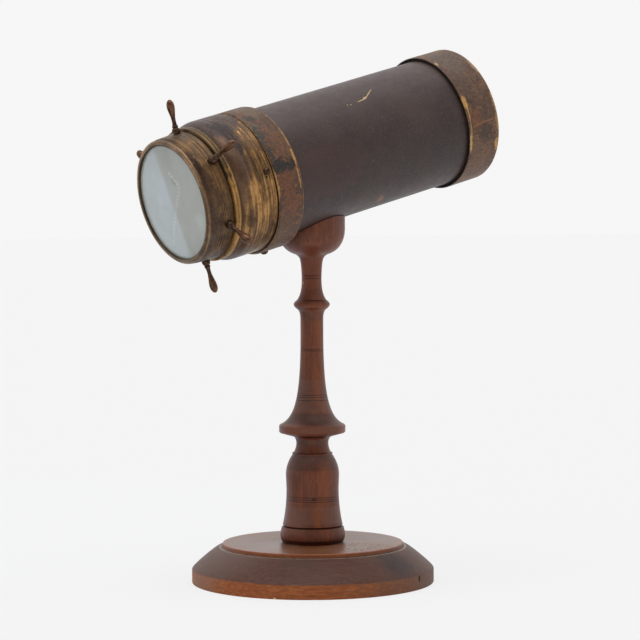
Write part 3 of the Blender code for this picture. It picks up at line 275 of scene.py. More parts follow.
def patch(vector, centre, around, along, rag, ragged=0.6, soft=0.15):
    """A worn place on a surface: 1 inside and 0 outside, with an edge as uneven as rag."""
    offset = vectors("SUBTRACT", vector, centre)
    shaped = vectors("DIVIDE", offset, (around * MM, around * MM, along * MM))
    distance = vectors("LENGTH", shaped, output=1)
    uneven = maths("MULTIPLY_ADD", rag, ragged)
    uneven.node.inputs[2].default_value = -ragged / 2
    return between(plus(distance, uneven), 0.95 + soft, 0.95 - soft)


def marked(colour, place, rag, marks, ragged, soft=0.15):
    """Lays marks on a colour. A mark is (centre, around, along, tint, depth)."""
    for centre, around, along, tint, depth in marks:
        mask = patch(place, centre, around, along, rag, ragged, soft)
        colour = laid(colour, tint, mask, depth)
    return colour


def marks_on(radius, rows, place=BARREL):
    """Marks on a turned surface. A row gives a pixel, across and down, and then what a mark gives."""
    return [(seen_on_round((across, down), radius, place), *rest) for across, down, *rest in rows]


def bumped(height, depth):
    """Lets a pattern stand proud of the surface by depth millimetres."""
    wire(normal=add_node("ShaderNodeBump", {"Height": height, "Distance": depth * MM}).outputs[0])


print("helpers ready")

# %% [markdown]
# A turner works from a list of heights and radii, and so does this lesson. The outline of a piece is
# a chain of points on one side of its axis. The bevel operator rounds its sharp corners, and the spin
# operator turns it. A primitive cone or cylinder would be quicker, but has no curves or rounded edges.
# %% The lathe
WELD = 0.000002
SHARP_TURN = math.radians(38)
SHADE_TURN = math.radians(34)
BOARD_STEPS, RING_STEPS, DISC_STEPS, EYELET_STEPS, ROD_STEPS = 256, 192, 128, 64, 32


def flow(start, end, handles, steps=12):
    """Points of a smooth curve after start, up to end. Handles are shares of its width and height."""
    first, second = [tuple(s + (e - s) * share for s, e, share in zip(start, end, pair))
                     for pair in handles]
    points = []
    for step in range(1, steps + 1):
        t = step / steps
        weights = ((1 - t) ** 3, 3 * t * (1 - t) ** 2, 3 * t * t * (1 - t), t ** 3)
        chain = (start, first, second, end)
        points.append(tuple(sum(w * p[i] for w, p in zip(weights, chain)) for i in (0, 1)))
    return points


def side_of(steps):
    """Joins corners, given as (radius, height), and curves, given as (radius, height, handles, steps)."""
    side = []
    for radius, height, *curve in steps:
        side += flow(side[-1], (radius, height), *curve) if curve else [(radius, height)]
    return side


def turn_at(vert):
    """How sharply a chain of edges turns at a vertex."""
    if len(vert.link_edges) != 2:
        return 0.0
    before, after = [edge.other_vert(vert).co - vert.co for edge in vert.link_edges]
    return math.pi - before.angle(after)


def smooth(mesh):
    mesh.shade_smooth()
    mesh.set_sharp_from_angle(angle=SHADE_TURN)


def as_piece(name, shape, finish=None):
    mesh = bpy.data.meshes.new(name)
    shape.to_mesh(mesh)
    shape.free()
    smooth(mesh)
    made = bpy.data.objects.new(name, mesh)
    bpy.context.scene.collection.objects.link(made)
    if finish:
        mesh.materials.append(finish)
    return made


def second_finish(piece, finish, chosen):
    """Gives another finish to the faces whose middle is chosen."""
    piece.data.materials.append(finish)
    for face in piece.data.polygons:
        if chosen(face.center):
            face.material_index = 1


def turned_shape(outline, steps, closed=True, soften=0.0):
    """Spins an outline of (radius, height) in millimetres about Z. Soften rounds its sharp corners."""
    shape = bmesh.new()
    points = [shape.verts.new((radius * MM, 0, height * MM)) for radius, height in outline]
    for pair in zip(points, points[1:] + points[:1] if closed else points[1:]):
        shape.edges.new(pair)
    if soften:
        corners = [v for v in shape.verts if turn_at(v) > SHARP_TURN]
        bmesh.ops.bevel(shape, geom=corners, offset=soften * MM, offset_type="OFFSET", segments=3,
                        profile=0.5, affect="VERTICES", clamp_overlap=True, material=-1)
    bmesh.ops.spin(shape, geom=shape.verts[:] + shape.edges[:], cent=(0, 0, 0), axis=(0, 0, 1),
                   dvec=(0, 0, 0), angle=math.tau, steps=steps, use_merge=True, use_duplicate=False)
    bmesh.ops.remove_doubles(shape, verts=shape.verts, dist=WELD)
    bmesh.ops.recalc_face_normals(shape, faces=shape.faces)
    return shape


def turned(name, outline, steps, finish=None, place=WORLD, closed=True, soften=0.0):
    shape = turned_shape(outline, steps, closed, soften)
    shape.transform(place)
    return as_piece(name, shape, finish)


def scribed(outline, cuts):
    """Adds fine V cuts to an outline that runs steadily along its axis. A cut is (height, width, depth)."""
    result = list(outline)
    for height, width, depth in cuts:
        start, end = height - width / 2, height + width / 2
        for index in range(len(result) - 1):
            (low_radius, low), (high_radius, high) = sorted(result[index:index + 2], key=lambda p: p[1])
            if low <= start and end <= high:
                def on_side(z):
                    return low_radius + (high_radius - low_radius) * (z - low) / (high - low)
                added = [(on_side(start), start), (on_side(height) - depth, height), (on_side(end), end)]
                rising = result[index][1] < result[index + 1][1]
                result[index + 1:index + 1] = added if rising else added[::-1]
                break
        else:
            print("no room for a line at", height)
    return result


print("lathe ready")

# %% [markdown]
# The stand is walnut with a reddish varnish that has gone dull. The grain runs up the column, because
# it was turned from a long blank, and across the base, which was turned from a board. A picture of
# wood would repeat and smear on a turned shape, so the grain is noise stretched along the blank.
# %% Finish of the column
ZONE_SOFT = 1.2
WIDE_STAIN = 5


def grain(vector, length, width):
    """Long fibres along Z: noise that is stretched to length by width millimetres."""
    return cloud(stretched(vector, 1, 1, width / length), width, detail=6.0, rough=0.6)


def column_finish(tinted_marks, zones, shaded_line_heights):
    made = new_finish("column_varnish")
    place = own_place()
    height = axis_share(place, "Z")
    broad = cloud(stretched(place, 1, 1, 0.25), 14.0, detail=3.0)
    fibres = grain(place, 34.0, 1.6)
    fine = grain(place, 12.0, 0.45)
    colour = blended(between(fibres, 0.34, 0.66), (113, 59, 39), (137, 77, 51))
    colour = laid(colour, (102, 62, 47), between(broad, 0.42, 0.62), 0.8)
    pores = between(fine, 0.44, 0.30)
    colour = laid(colour, (64, 32, 22), pores, 0.35)
    speckle = between(grain(place, 2.0, 0.5), 0.54, 0.66)
    colour = laid(colour, (164, 104, 74), speckle, 0.35)
    for low, high, tint, depth in zones:
        above = between(height, low * MM, (low + ZONE_SOFT) * MM)
        below = between(height, high * MM, (high - ZONE_SOFT) * MM)
        colour = laid(colour, tint, above, below, depth)
    rag = cloud(place, 3.5)
    for mark in tinted_marks:
        wide = max(mark[1:3]) > WIDE_STAIN
        colour = marked(colour, place, rag, [mark], 1.6, 0.7 if wide else 0.2)
    # painted shade: the scribed lines and the corners of the outline are darkened, as shade falls into them
    lines = [between(maths("ABSOLUTE", minus(height, z * MM)), width * MM, width * MM * 0.35)
             for z, width in shaded_line_heights]
    colour = laid(colour, (34, 18, 13), either(*lines), 0.75)
    gloss = scaled(broad, 0.3, 0.7, 0.34, 0.50)
    wire(colour=colour, rough=gloss, shine=0.32)
    bumped(plus(both(fibres, 0.5), both(fine, 0.5)), 0.08)
    return made


print("column finish ready")

# %% [markdown]
# The column is one spindle: a foot with a V groove, a bell, a neck under a thin disc, a long flared
# shaft, a bead, and a stem that opens into a cup. Each stretch is a smooth curve between two radii,
# with shares that say how it bends. Fine lines were scribed with the tip of a chisel while it turned.
# %% The column's outline
BASE_HEIGHT = 24.8
COLUMN_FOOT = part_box("stand_column")[0].z / MM
FOOT_Z = BASE_HEIGHT + 0.3
CUP_RADIUS = 21.1
SCRIBED_LINES = (192.7, 191.0, 146.7, 145.6, 117.9, 116.5, 114.6, 54.2, 52.9, 51.6)
LINE_WIDTH = 0.5
LINE_DEPTH = 0.16

column_side = side_of((
    (18.8, FOOT_Z),
    (20.4, 29.6, ((0.45, 0.05), (1.0, 0.45)), 8),
    (19.5, 34.5, ((0.0, 0.45), (0.7, 0.75)), 6),
    (18.1, 35.2),  # the groove above the foot
    (18.9, 35.9),
    (16.45, 58.8, ((0.40, 0.18), (1.0, 0.55)), 14),
    (16.8, 67.7),
    (12.5, 80.3, ((0.0, 0.42), (0.55, 0.78)), 12),
    (12.8, 81.1),  # the ledge on the bell
    (11.6, 81.9),
    (10.1, 87.3, ((0.55, 0.25), (1.0, 0.65)), 8),
    (12.4, 91.7, ((0.0, 0.50), (0.35, 0.90)), 8),
    (20.1, 93.8),  # the disc
    (20.9, 94.6),
    (20.9, 98.4),
    (20.1, 99.2),
    (7.2, 157.2, ((0.75, 0.074), (1.0, 0.325)), 28),
    (7.2, 165.2),
    (9.2, 171.7, ((0.0, 0.55), (0.30, 0.85)), 8),
    (11.4, 174.6, ((0.50, 0.28), (0.98, 0.62)), 6),  # the bead
    (9.2, 177.5, ((0.02, 0.38), (0.50, 0.72)), 6),
    (6.25, 189.9, ((0.60, 0.20), (1.0, 0.50)), 12),  # the stem
    (7.2, 202.5, ((0.0, 0.45), (0.45, 0.85)), 10),
    (10.6, 206.2, ((0.05, 0.45), (0.55, 0.88)), 6),
    (CUP_RADIUS, 221.7, ((0.46, 0.10), (0.97, 0.36)), 20),
))
print("column:", len(column_side), "points from", FOOT_Z, "to", column_side[-1][1])

# %% [markdown]
# The cup is hollowed to the barrel's own shape. On the real stand a gouge or a sanding drum does that;
# here a Boolean takes the barrel's taper, with a hair of clearance, out of the turned solid. The
# Boolean's result is made a plain mesh, so that the finished piece needs nothing else.
# %% The column
BARREL_FRONT_RADIUS = 40.5
BARREL_TAPER = 0.7
tube_front, tube_rear, _ = reach("barrel_tube")


def barrel_radius(station):
    """Outer radius of the covered barrel, which swells a little towards the eye end."""
    return BARREL_FRONT_RADIUS + BARREL_TAPER * (station - tube_front) / (tube_rear - tube_front)


def carved(piece, cutter):
    """Takes the cutter out of the piece for good, and removes it."""
    step = piece.modifiers.new("carve", "BOOLEAN")
    step.operation = "DIFFERENCE"
    step.object = cutter
    depsgraph = bpy.context.evaluated_depsgraph_get()
    mesh = bpy.data.meshes.new_from_object(piece.evaluated_get(depsgraph))
    old = piece.data
    piece.modifiers.clear()
    piece.data = mesh
    bpy.data.meshes.remove(old)
    bpy.data.objects.remove(cutter)
    smooth(mesh)
    return piece


TENON_RADIUS = 9.0
CUP_TOP = 242.0
SADDLE_GAP = 0.3
SADDLE_REACH = 45.0
RED_STAIN = (104, 40, 12)
GREY_BLOOM = (94, 74, 68)
# Pixel across and down, radius of the wood there, reach around and along in millimetres, tint, depth
stain_rows = (
    (312, 249, 12.0, 7.5, 2.6, RED_STAIN, 0.7),
    (311, 437, 10.5, 8.5, 1.8, (92, 30, 14), 0.7),
    (326, 484, 16.5, 5.0, 12.0, (158, 88, 48), 0.4),
    (317, 519, 17.5, 2.6, 7.0, (156, 84, 42), 0.5),
    (318, 330, 8.0, 2.6, 10.0, (160, 92, 52), 0.4),
    (317, 386, 9.0, 2.6, 13.0, (156, 88, 50), 0.4),
    (303, 283, 6.3, 0.55, 1.1, (206, 172, 130), 0.95),
    (312, 300, 7.0, 6.0, 7.0, (132, 74, 52), 0.5),
    (300, 524, 17.5, 5.0, 7.0, (122, 88, 76), 0.6),
    (301.3, 282, 6.3, 0.6, 2.4, (26, 16, 12), 0.9),
    (314.5, 500, 16.5, 1.6, 0.8, (44, 24, 18), 0.7),
)
column_stains = [(seen_on_round((across, down), radius, WORLD), *rest)
                 for across, down, radius, *rest in stain_rows]
# From and to, as heights in millimetres, tint, depth
column_zones = (
    (92.6, 99.6, (132, 84, 62), 0.4),
    (99.4, 107.0, (62, 48, 43), 0.55),
    (107.0, 128.0, (118, 88, 78), 0.4),
    (85.0, 90.5, GREY_BLOOM, 0.4),
    (82.0, 93.0, (96, 46, 28), 0.25),
    (70.5, 81.0, (76, 52, 45), 0.6),
    (172.3, 176.8, (134, 74, 48), 0.5),
    # painted shade: the bottom of the foot, below its swell, is darkened
    (25.1, 28.0, (44, 12, 6), 0.9),
    (164.0, 171.0, (98, 64, 52), 0.5),
    (178.0, 184.0, (104, 66, 54), 0.4),
    (184.0, 204.0, (146, 78, 50), 0.4),
    (37.0, 49.0, (136, 98, 82), 0.35),
)
# Painted shade in the corners of the outline, as height and width in millimetres
SHADED_CORNERS = ((35.2, 0.8), (81.3, 0.3), (91.9, 0.8), (172.0, 0.4), (177.2, 0.4))
shaded_lines = [(z, LINE_WIDTH * 0.6) for z in SCRIBED_LINES] + list(SHADED_CORNERS)
column_walnut = column_finish(column_stains, column_zones, shaded_lines)

scribe_cuts = [(z, LINE_WIDTH, LINE_DEPTH) for z in SCRIBED_LINES]
tenon_end = COLUMN_FOOT + 0.1
column_outline = [(0, tenon_end), (TENON_RADIUS, tenon_end), (TENON_RADIUS, FOOT_Z),
                  *scribed(column_side, scribe_cuts), (CUP_RADIUS, CUP_TOP), (0, CUP_TOP)]
column = turned("walnut_column", column_outline, DISC_STEPS, column_walnut, closed=False)
saddle_side = [(barrel_radius(s) + SADDLE_GAP, s) for s in (-SADDLE_REACH, SADDLE_REACH)]
saddle_outline = [(0, -SADDLE_REACH), *saddle_side, (0, SADDLE_REACH)]
saddle = turned("saddle", saddle_outline, BOARD_STEPS, place=BARREL, closed=False)
carved(column, saddle)
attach(column, "stand")
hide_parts("stand_column")
print("column faces:", len(column.data.polygons))

# %% [markdown]
# The base is a round board with a raised plateau, a sloping shoulder and a plain edge. Its varnish
# tells where hands and cloths went: the top is still glossy, the two edges are rubbed to orange wood,
# the slope is dark, and dust lies in the corner. Masks by height and radius find the places.
# %% Finish of the base
PLATEAU_RADIUS = 56.9
PLATEAU_SHELF_Z = 22.2
EDGE_TOP = 8.6
BASE_RADIUS = 76.2
GRAIN_TURN = math.radians(-33)
BRUISE_RADIUS = 66.0
BLOOM_RADIUS = 68.0
SLOPE_BRUISES = ((396, 565, 12.0, 10.0, (48, 46, 50), 0.6),)
SLOPE_BLOOM = ((222, 552, 26.0, 14.0, (126, 98, 88), 0.5),)
# Pixel across and down, reach around and along in millimetres, tint, depth
EDGE_STAINS = (
    (412, 582, 36.0, 30.0, (112, 86, 74), 0.6),
    (198, 578, 22.0, 30.0, (150, 120, 104), 0.5),
    (432, 575, 26.0, 30.0, (112, 90, 80), 0.8),
)
EDGE_DAMAGE = (
    (419.5, 578.5, 1.3, 2.2, (34, 22, 17), 0.9),
    (274.5, 599, 1.0, 0.8, (226, 190, 150), 0.9),
)


def base_finish(name, shine):
    made = new_finish(name)
    place = own_place()
    radius = radius_from(place)
    height = axis_share(place, "Z")
    board = add_node("ShaderNodeMapping", {"Vector": place, "Rotation": (0, 0, -GRAIN_TURN)}).outputs[0]
    fibres = cloud(stretched(board, 0.05, 1, 1), 1.5, detail=6.0, rough=0.62)
    fine = cloud(stretched(board, 0.07, 1, 1), 0.5, detail=5.0, rough=0.6)
    broad = cloud(place, 26.0, detail=4.0)
    mottle = cloud(place, 3.2, detail=5.0, rough=0.65)
    rag = cloud(place, 6.0, detail=6.0, rough=0.7)

    slope = blended(between(fibres, 0.34, 0.68), (86, 54, 44), (108, 72, 58))
    slope = laid(slope, (92, 66, 57), between(broad, 0.42, 0.62), 0.7)
    slope = laid(slope, (134, 92, 72), between(mottle, 0.56, 0.70), 0.3)
    slope = marked(slope, place, rag, marks_on(BRUISE_RADIUS, SLOPE_BRUISES, WORLD), 2.4, 0.6)
    slope = marked(slope, place, rag, marks_on(BLOOM_RADIUS, SLOPE_BLOOM, WORLD), 1.6, 0.7)

    top = blended(between(fibres, 0.36, 0.66), (100, 57, 32), (142, 88, 54))
    top = laid(top, (60, 34, 24), between(fine, 0.44, 0.32), 0.6)
    top = laid(top, (138, 98, 68), between(broad, 0.44, 0.62), 0.3)
    near_rim = between(plus(radius, both(minus(rag, 0.5), 4 * MM)), (PLATEAU_RADIUS - 5) * MM,
                       (PLATEAU_RADIUS - 0.5) * MM)
    top = laid(top, (154, 84, 38), near_rim, 0.65)

    rubbed = blended(between(fibres, 0.34, 0.66), (158, 88, 48), (190, 114, 68))
    streaks = cloud(stretched(place, 0.12, 0.12, 1), 1.0, detail=6.0, rough=0.65)
    rubbed = laid(rubbed, (134, 74, 44), between(streaks, 0.42, 0.60), 0.55)
    rubbed = laid(rubbed, (104, 56, 34), between(fine, 0.44, 0.32), 0.3)
    rubbed = marked(rubbed, place, rag, marks_on(BASE_RADIUS, EDGE_STAINS, WORLD), 1.6, 0.7)
    rubbed = marked(rubbed, place, rag, marks_on(BASE_RADIUS, EDGE_DAMAGE, WORLD), 1.2)

    uneven = both(minus(rag, 0.5), 1.8 * MM)
    on_edge = between(plus(height, uneven), (EDGE_TOP + 0.9) * MM, (EDGE_TOP - 0.6) * MM)
    on_wall = both(between(radius, (PLATEAU_RADIUS - 0.7) * MM, (PLATEAU_RADIUS - 0.3) * MM),
                   between(height, (PLATEAU_SHELF_Z + 0.2) * MM, (PLATEAU_SHELF_Z + 0.7) * MM))
    on_top = both(between(radius, PLATEAU_RADIUS * MM, (PLATEAU_RADIUS - 0.4) * MM),
                  between(height, (BASE_HEIGHT - 1.2) * MM, (BASE_HEIGHT - 0.9) * MM))
    low_dust = between(plus(height, both(uneven, 0.08)), 21.7 * MM, 22.1 * MM)
    on_shelf = both(between(radius, (PLATEAU_RADIUS + 0.6) * MM, (PLATEAU_RADIUS + 1.2) * MM),
                    between(radius, (PLATEAU_RADIUS + 2.6) * MM, (PLATEAU_RADIUS + 1.8) * MM),
                    low_dust, between(mottle, 0.30, 0.55))

    colour = blended(on_top, slope, top)
    colour = laid(colour, (178, 168, 150), on_shelf, 0.85)
    colour = blended(on_wall, colour, blended(0.4, rubbed, (112, 60, 30)))
    colour = blended(on_edge, colour, rubbed)
    pitted = between(cloud(place, 1.4, detail=3.0), 0.52, 0.62)
    spoiled = patch(place, seen_on_round((358, 545), 40.0, WORLD), 24.0, 20.0, rag, 0.8)
    dull = plus(both(between(fibres, 0.40, 0.60), 0.10), both(pitted, spoiled, 0.25))
    gloss = plus(plus(dull, scaled(on_top, 0.0, 1.0, 0.42, 0.30)), both(on_edge, 0.15))
    wire(colour=colour, rough=gloss, shine=shine)
    relief = plus(both(fibres, 0.3), both(mottle, 0.3))
    bumped(minus(relief, both(pitted, spoiled)), 0.09)
    return made


side_walnut = base_finish("base_varnish", 0.22)
top_walnut = base_finish("plateau_varnish", 0.65)
print("base finish ready")

# %% [markdown]
# A turned board is a solid of revolution, so its outline is spun. The corners are rounded a little,
# as wood is after a century. Two nicks in the rim are pressed in afterwards by moving the nearest
# points, which a bump map could only paint.
# %% The base
SLOPE_HANDLES = ((0.15, 0.05), (0.88, 0.80))
NICK_PIXELS = ((419.5, 578.5), (316.0, 599.0))
NICK_DEPTH = 0.8
NICK_REACH = 2.2
FLAT_INSET = 1.2


def dented(shape, centre, size, depth, inward):
    """Pushes the points near centre by depth millimetres, most at the middle."""
    for vert in shape.verts:
        share = 1 - (vert.co - centre).length / (size * MM)
        if share > 0:
            vert.co += inward * depth * MM * share * share * (3 - 2 * share)


MORTISE = (TENON_RADIUS + 0.3, BASE_HEIGHT - 15.0)
base_outline = side_of((
    (0, MORTISE[1]),
    MORTISE,
    (MORTISE[0], BASE_HEIGHT),
    (PLATEAU_RADIUS - FLAT_INSET, BASE_HEIGHT),
    (PLATEAU_RADIUS, BASE_HEIGHT),
    (PLATEAU_RADIUS, PLATEAU_SHELF_Z),
    (59.7, PLATEAU_SHELF_Z),
    (BASE_RADIUS, EDGE_TOP, SLOPE_HANDLES, 20),
    (BASE_RADIUS, 4.6),
    (BASE_RADIUS, 0.0),
    (0, 0),
))
base_shape = turned_shape(base_outline, BOARD_STEPS, closed=False, soften=0.7)
for pixel in NICK_PIXELS:
    spot = seen_on_round(pixel, BASE_RADIUS, WORLD)
    dented(base_shape, spot, NICK_REACH, NICK_DEPTH, Vector((-spot.x, -spot.y, 0)).normalized())
base = as_piece("walnut_base", base_shape, side_walnut)
second_finish(base, top_walnut, lambda spot: spot.z > (BASE_HEIGHT - 0.8) * MM)
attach(base, "stand")
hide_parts("stand_base")
print("base across:", round(base.dimensions.x / MM, 1), "mm")

# %% [markdown]
# The barrel is covered with very dark brown grained paper or thin leather. It has an almost even
# colour, with a painted sheen that lightens its top and painted shade in a band just below its middle,
# a fine pebble, a few pale specks, one scratch down to the pale board and an orange scuff. The scratch
# and the scuff are set where the photograph's sight lines meet the tube.
# %% Finish of the barrel
def scratch_mask(vector, start, end, width, rag, least=0.08):
    """A scratch between two points: the distance from its line, against a width that swells midway."""
    way = end - start
    along = maths("DIVIDE", vectors("DOT_PRODUCT", vectors("SUBTRACT", vector, start), way, output=1),
                  way.length_squared)
    kept = add_node("ShaderNodeClamp", {0: along}).outputs[0]
    foot_point = add_node("ShaderNodeVectorMath", {0: way, 1: (0, 0, 0)}, operation="SCALE")
    plug(foot_point, "Scale", kept)
    nearest = vectors("ADD", start, foot_point.outputs[0])
    distance = vectors("DISTANCE", vector, nearest, output=1)
    swell = both(minus(1.02, kept), kept, 4 * width * MM)
    ragged = both(swell, plus(rag, 0.5))
    return between(minus(distance, ragged), least * MM, least * 0.3 * MM)


SCRATCH_PIXELS = ((356.5, 102.3), (365.5, 98.3), (371.5, 88.5))
CHIP_PIXELS = ((347.5, 104.8), (351.0, 104.4))
SCRATCH_STATION = 40


def covering_finish():
    made = new_finish("dark_grained_covering")
    place = own_place(BARREL)
    broad = cloud(place, 30.0, detail=4.0, rough=0.6)
    mottle = cloud(place, 5.0, detail=6.0, rough=0.65)
    pebble = add_node("ShaderNodeTexVoronoi", {"Vector": place, "Scale": 1 / (0.8 * MM)},
                      feature="SMOOTH_F1").outputs["Distance"]
    colour = blended(between(broad, 0.36, 0.66), (55, 38, 35), (72, 53, 49))
    colour = laid(colour, (86, 56, 43), between(mottle, 0.50, 0.68), 0.45)
    rag = cloud(place, 1.2, detail=5.0, rough=0.7)
    down = axis_share(place, "X")
    uneven = both(minus(mottle, 0.5), 12 * MM)
    # painted sheen: the top of the barrel is lightened
    painted_top_sheen = between(plus(down, uneven), -22 * MM, -41 * MM)
    colour = laid(colour, (98, 82, 78), painted_top_sheen, 0.6)
    # painted shade: a band just below the middle of the barrel, on both sides, is darkened
    shaded = both(between(down, -12 * MM, 6 * MM), between(down, 36 * MM, 22 * MM))
    colour = laid(colour, (44, 31, 28), shaded, 0.6)
    weave = cloud(place, 0.7, detail=3.0, rough=0.7)
    colour = laid(colour, (104, 86, 82), between(weave, 0.5, 0.62), 0.3)
    colour = laid(colour, (38, 28, 27), between(weave, 0.48, 0.38), 0.3)
    specks = between(cloud(place, 1.1, detail=2.0), 0.72, 0.75)
    colour = laid(colour, (150, 120, 96), specks, 0.6)

    tube = barrel_radius(SCRATCH_STATION)
    start, middle, end = [seen_on_round(pixel, tube) for pixel in SCRATCH_PIXELS]
    scratch = either(scratch_mask(place, start, middle + (middle - start) * 0.15, 0.4, rag),
                     scratch_mask(place, middle - (end - middle) * 0.12, end, 0.32, rag))
    torn = start.lerp(middle, 0.7), middle.lerp(end, 0.2)
    scratch = either(scratch, scratch_mask(place, *torn, 0.8, rag))
    for pixel in CHIP_PIXELS:
        scratch = either(scratch, patch(place, seen_on_round(pixel, tube), 0.5, 0.45, rag))
    colour = laid(colour, (222, 186, 138), scratch, 0.95)
    scuff = patch(place, seen_on_round((380.5, 199), tube), 3.4, 2.6, rag, 1.6)
    colour = laid(colour, (138, 88, 48), scuff, 0.8)
    reddish = patch(place, seen_on_round((330, 172), tube), 18.0, 30.0, mottle, 1.4)
    colour = laid(colour, (84, 50, 44), reddish, 0.35)
    gloss = scaled(mottle, 0.3, 0.7, 0.40, 0.56)
    wire(colour=colour, rough=gloss)
    height = minus(both(pebble, 0.5), both(scratch, 1.2))
    bumped(plus(height, both(mottle, 0.5)), 0.14)
    return made


dark_covering = covering_finish()
print("covering finish ready")

# %% [markdown]
# The covering is one sheet glued round the tube, so it is a thin ring with a lap where its ends meet,
# at the back. It could stay the plain ring of the frame, but a real rolled tube is never quite even:
# a slow ripple of less than a tenth of a millimetre keeps its highlight alive.
# %% The barrel's covering
RIPPLE = (0.05, 24.0)
SKIN_OUT = 0.1
SKIN_IN = 0.6
LAP_ANGLE = math.radians(20)
LAP_RISE = 0.18
LAP_WIDTH = math.radians(9)


def rippled(shape, amount, size, share=lambda point: 1.0):
    """Moves points in or out from the axis by a slow noise of amount millimetres."""
    for vert in shape.verts:
        out = Vector((vert.co.x, vert.co.y, 0))
        if out.length > 0:
            vert.co += out.normalized() * noise.noise(vert.co / (size * MM)) * amount * MM * share(vert.co)


cover_front, cover_rear, _ = reach("barrel_covering")
cover_stations = [cover_front + (cover_rear - cover_front) * i / 36 for i in range(37)]
cover_outline = [(barrel_radius(s) - SKIN_OUT, s) for s in reversed(cover_stations)]
cover_outline += [(barrel_radius(s) - SKIN_IN, s) for s in (cover_front, cover_rear)]
cover_shape = turned_shape(cover_outline, RING_STEPS)
rippled(cover_shape, *RIPPLE)
for vert in cover_shape.verts:
    angle = math.atan2(vert.co.y, vert.co.x) % math.tau
    outside = vert.co.xy.length > (barrel_radius(vert.co.z / MM) - 0.35) * MM
    if outside and abs(angle - (math.pi / 2 + LAP_ANGLE)) < LAP_WIDTH:
        vert.co += Vector((vert.co.x, vert.co.y, 0)).normalized() * LAP_RISE * MM
cover_shape.transform(BARREL)
covering = as_piece("grained_covering", cover_shape, dark_covering)
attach(covering, "stand")
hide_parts("barrel_covering")
print("covering from", round(cover_front, 1), "to", round(cover_rear, 1), "mm along the axis")

# %% [markdown]
# The band and the eye cap are pasteboard rings covered with brown leather. At their edges the leather
# has worn through to pale board, and there are dark and greenish stains. Wear follows the edges, so
# the mask measures the distance from each end and adds noise to it.
# %% Finish of the leather rings
RAGGED_STAIN = 3.6


def leather_finish(name, radius, tinted_marks, bare_edges, tones, centred=BARREL, cracks=(), cut=0.9):
    """Brown leather on a ring of that radius. A stain is (centre, around, along, tint, depth)."""
    made = new_finish(name)
    place = own_place(centred)
    station = axis_share(place, "Z")
    broad = cloud(place, 11.0, detail=5.0, rough=0.62)
    mottle = cloud(place, 3.0, detail=6.0, rough=0.68)
    fine = cloud(place, 0.8, detail=4.0, rough=0.6)
    rag = cloud(place, 3.4, detail=6.0, rough=0.72)
    dark, middle, light = tones
    colour = blended(between(broad, 0.38, 0.62), dark, middle)
    colour = laid(colour, light, between(mottle, 0.48, 0.66), 0.8)
    colour = laid(colour, (48, 34, 26), between(fine, 0.48, 0.36), 0.6)
    colour = laid(colour, light, between(fine, 0.54, 0.66), 0.35)
    colour = marked(colour, place, rag, tinted_marks, RAGGED_STAIN)
    speckle = cloud(place, 1.7, detail=4.0, rough=0.7)
    colour = laid(colour, (50, 36, 29), between(speckle, 0.49, 0.38), 0.55)
    colour = laid(colour, light, between(speckle, 0.53, 0.64), 0.35)
    for first, last in cracks:
        split = scratch_mask(place, first, last, 0.25, rag, 0.4)
        colour = laid(colour, (168, 108, 66), split, 0.7)
    bare = []
    for edge, width, amount in bare_edges:
        off = maths("ABSOLUTE", minus(station, edge * MM))
        uneven = minus(off, both(minus(rag, 0.46), width * 7 * MM))
        bare.append(both(between(uneven, width * MM, width * 0.4 * MM), amount))
    bare = either(*bare)
    board = blended(between(fine, 0.36, 0.62), (150, 100, 54), (206, 158, 100))
    colour = blended(bare, colour, board)
    # painted shade: the end faces and the bore are darkened, as they lie in shade
    painted_inner_shade = between(radius_from(place), (radius - cut) * MM, (radius - cut - 0.3) * MM)
    colour = blended(painted_inner_shade, colour, (40, 30, 22))
    gloss = scaled(mottle, 0.3, 0.7, 0.42, 0.66)
    wire(colour=colour, rough=gloss)
    height = plus(both(fine, 0.4), both(mottle, 0.6))
    bumped(minus(height, both(bare, 0.5)), 0.22)
    return made


BAND_SAG = 1.0
BAND_PLACE = BARREL @ Matrix.Translation((BAND_SAG * MM, 0, 0))
band_front, band_rear, band_reach = reach("front_band")
band_radius = band_reach - BAND_SAG
BLUE_BLACK = (50, 50, 46)
SMEAR_BLACK = (30, 30, 29)
PALE_BOARD = (222, 164, 92)

# Pixel across and down, reach around and along in millimetres, tint, depth
band_stains = (
    (247, 110, 14.0, 7.0, (118, 98, 76), 0.7),
    (248, 128, 12.0, 7.0, (112, 94, 72), 0.6),
    (280, 140, 14.0, 6.0, (128, 88, 62), 0.6),
    (249, 119, 5.0, 3.0, BLUE_BLACK, 0.8),
    (258, 133, 7.0, 2.4, BLUE_BLACK, 0.8),
    (265, 145, 7.0, 2.6, (62, 58, 50), 0.75),
    (271, 155, 5.0, 2.4, BLUE_BLACK, 0.8),
    (281, 166.5, 4.2, 7.0, SMEAR_BLACK, 0.95),
    (291, 163, 4.0, 4.0, SMEAR_BLACK, 0.9),
    (274, 124, 8.0, 2.0, (74, 56, 44), 0.6),
    (286, 180, 5.0, 5.0, (126, 76, 46), 0.7),
    (291, 203, 14.0, 5.0, (126, 74, 44), 0.65),
    (280, 205, 15.0, 1.8, (60, 52, 48), 0.8),
    (284, 224, 9.0, 7.0, (96, 64, 44), 0.7),
    (276, 242, 14.0, 8.0, (106, 84, 64), 0.7),
    (275.5, 178, 6.0, 1.0, PALE_BOARD, 0.95),
    (278, 191, 7.0, 1.6, PALE_BOARD, 0.95),
    (293.5, 156, 5.0, 0.8, PALE_BOARD, 0.9),
    (299, 175, 8.0, 0.6, (206, 152, 90), 0.85),
    (284, 135, 9.0, 0.9, (200, 150, 92), 0.8),
    (270, 118, 6.0, 0.8, (176, 134, 88), 0.7),
)
band_tones = ((76, 50, 36), (106, 70, 46), (158, 104, 62))
band_marks = marks_on(band_radius, band_stains, BAND_PLACE)
band_leather = leather_finish("band_leather", band_radius, band_marks,
                              ((band_front, 0.16, 0.6), (band_rear, 0.32, 0.9)), band_tones, BAND_PLACE)

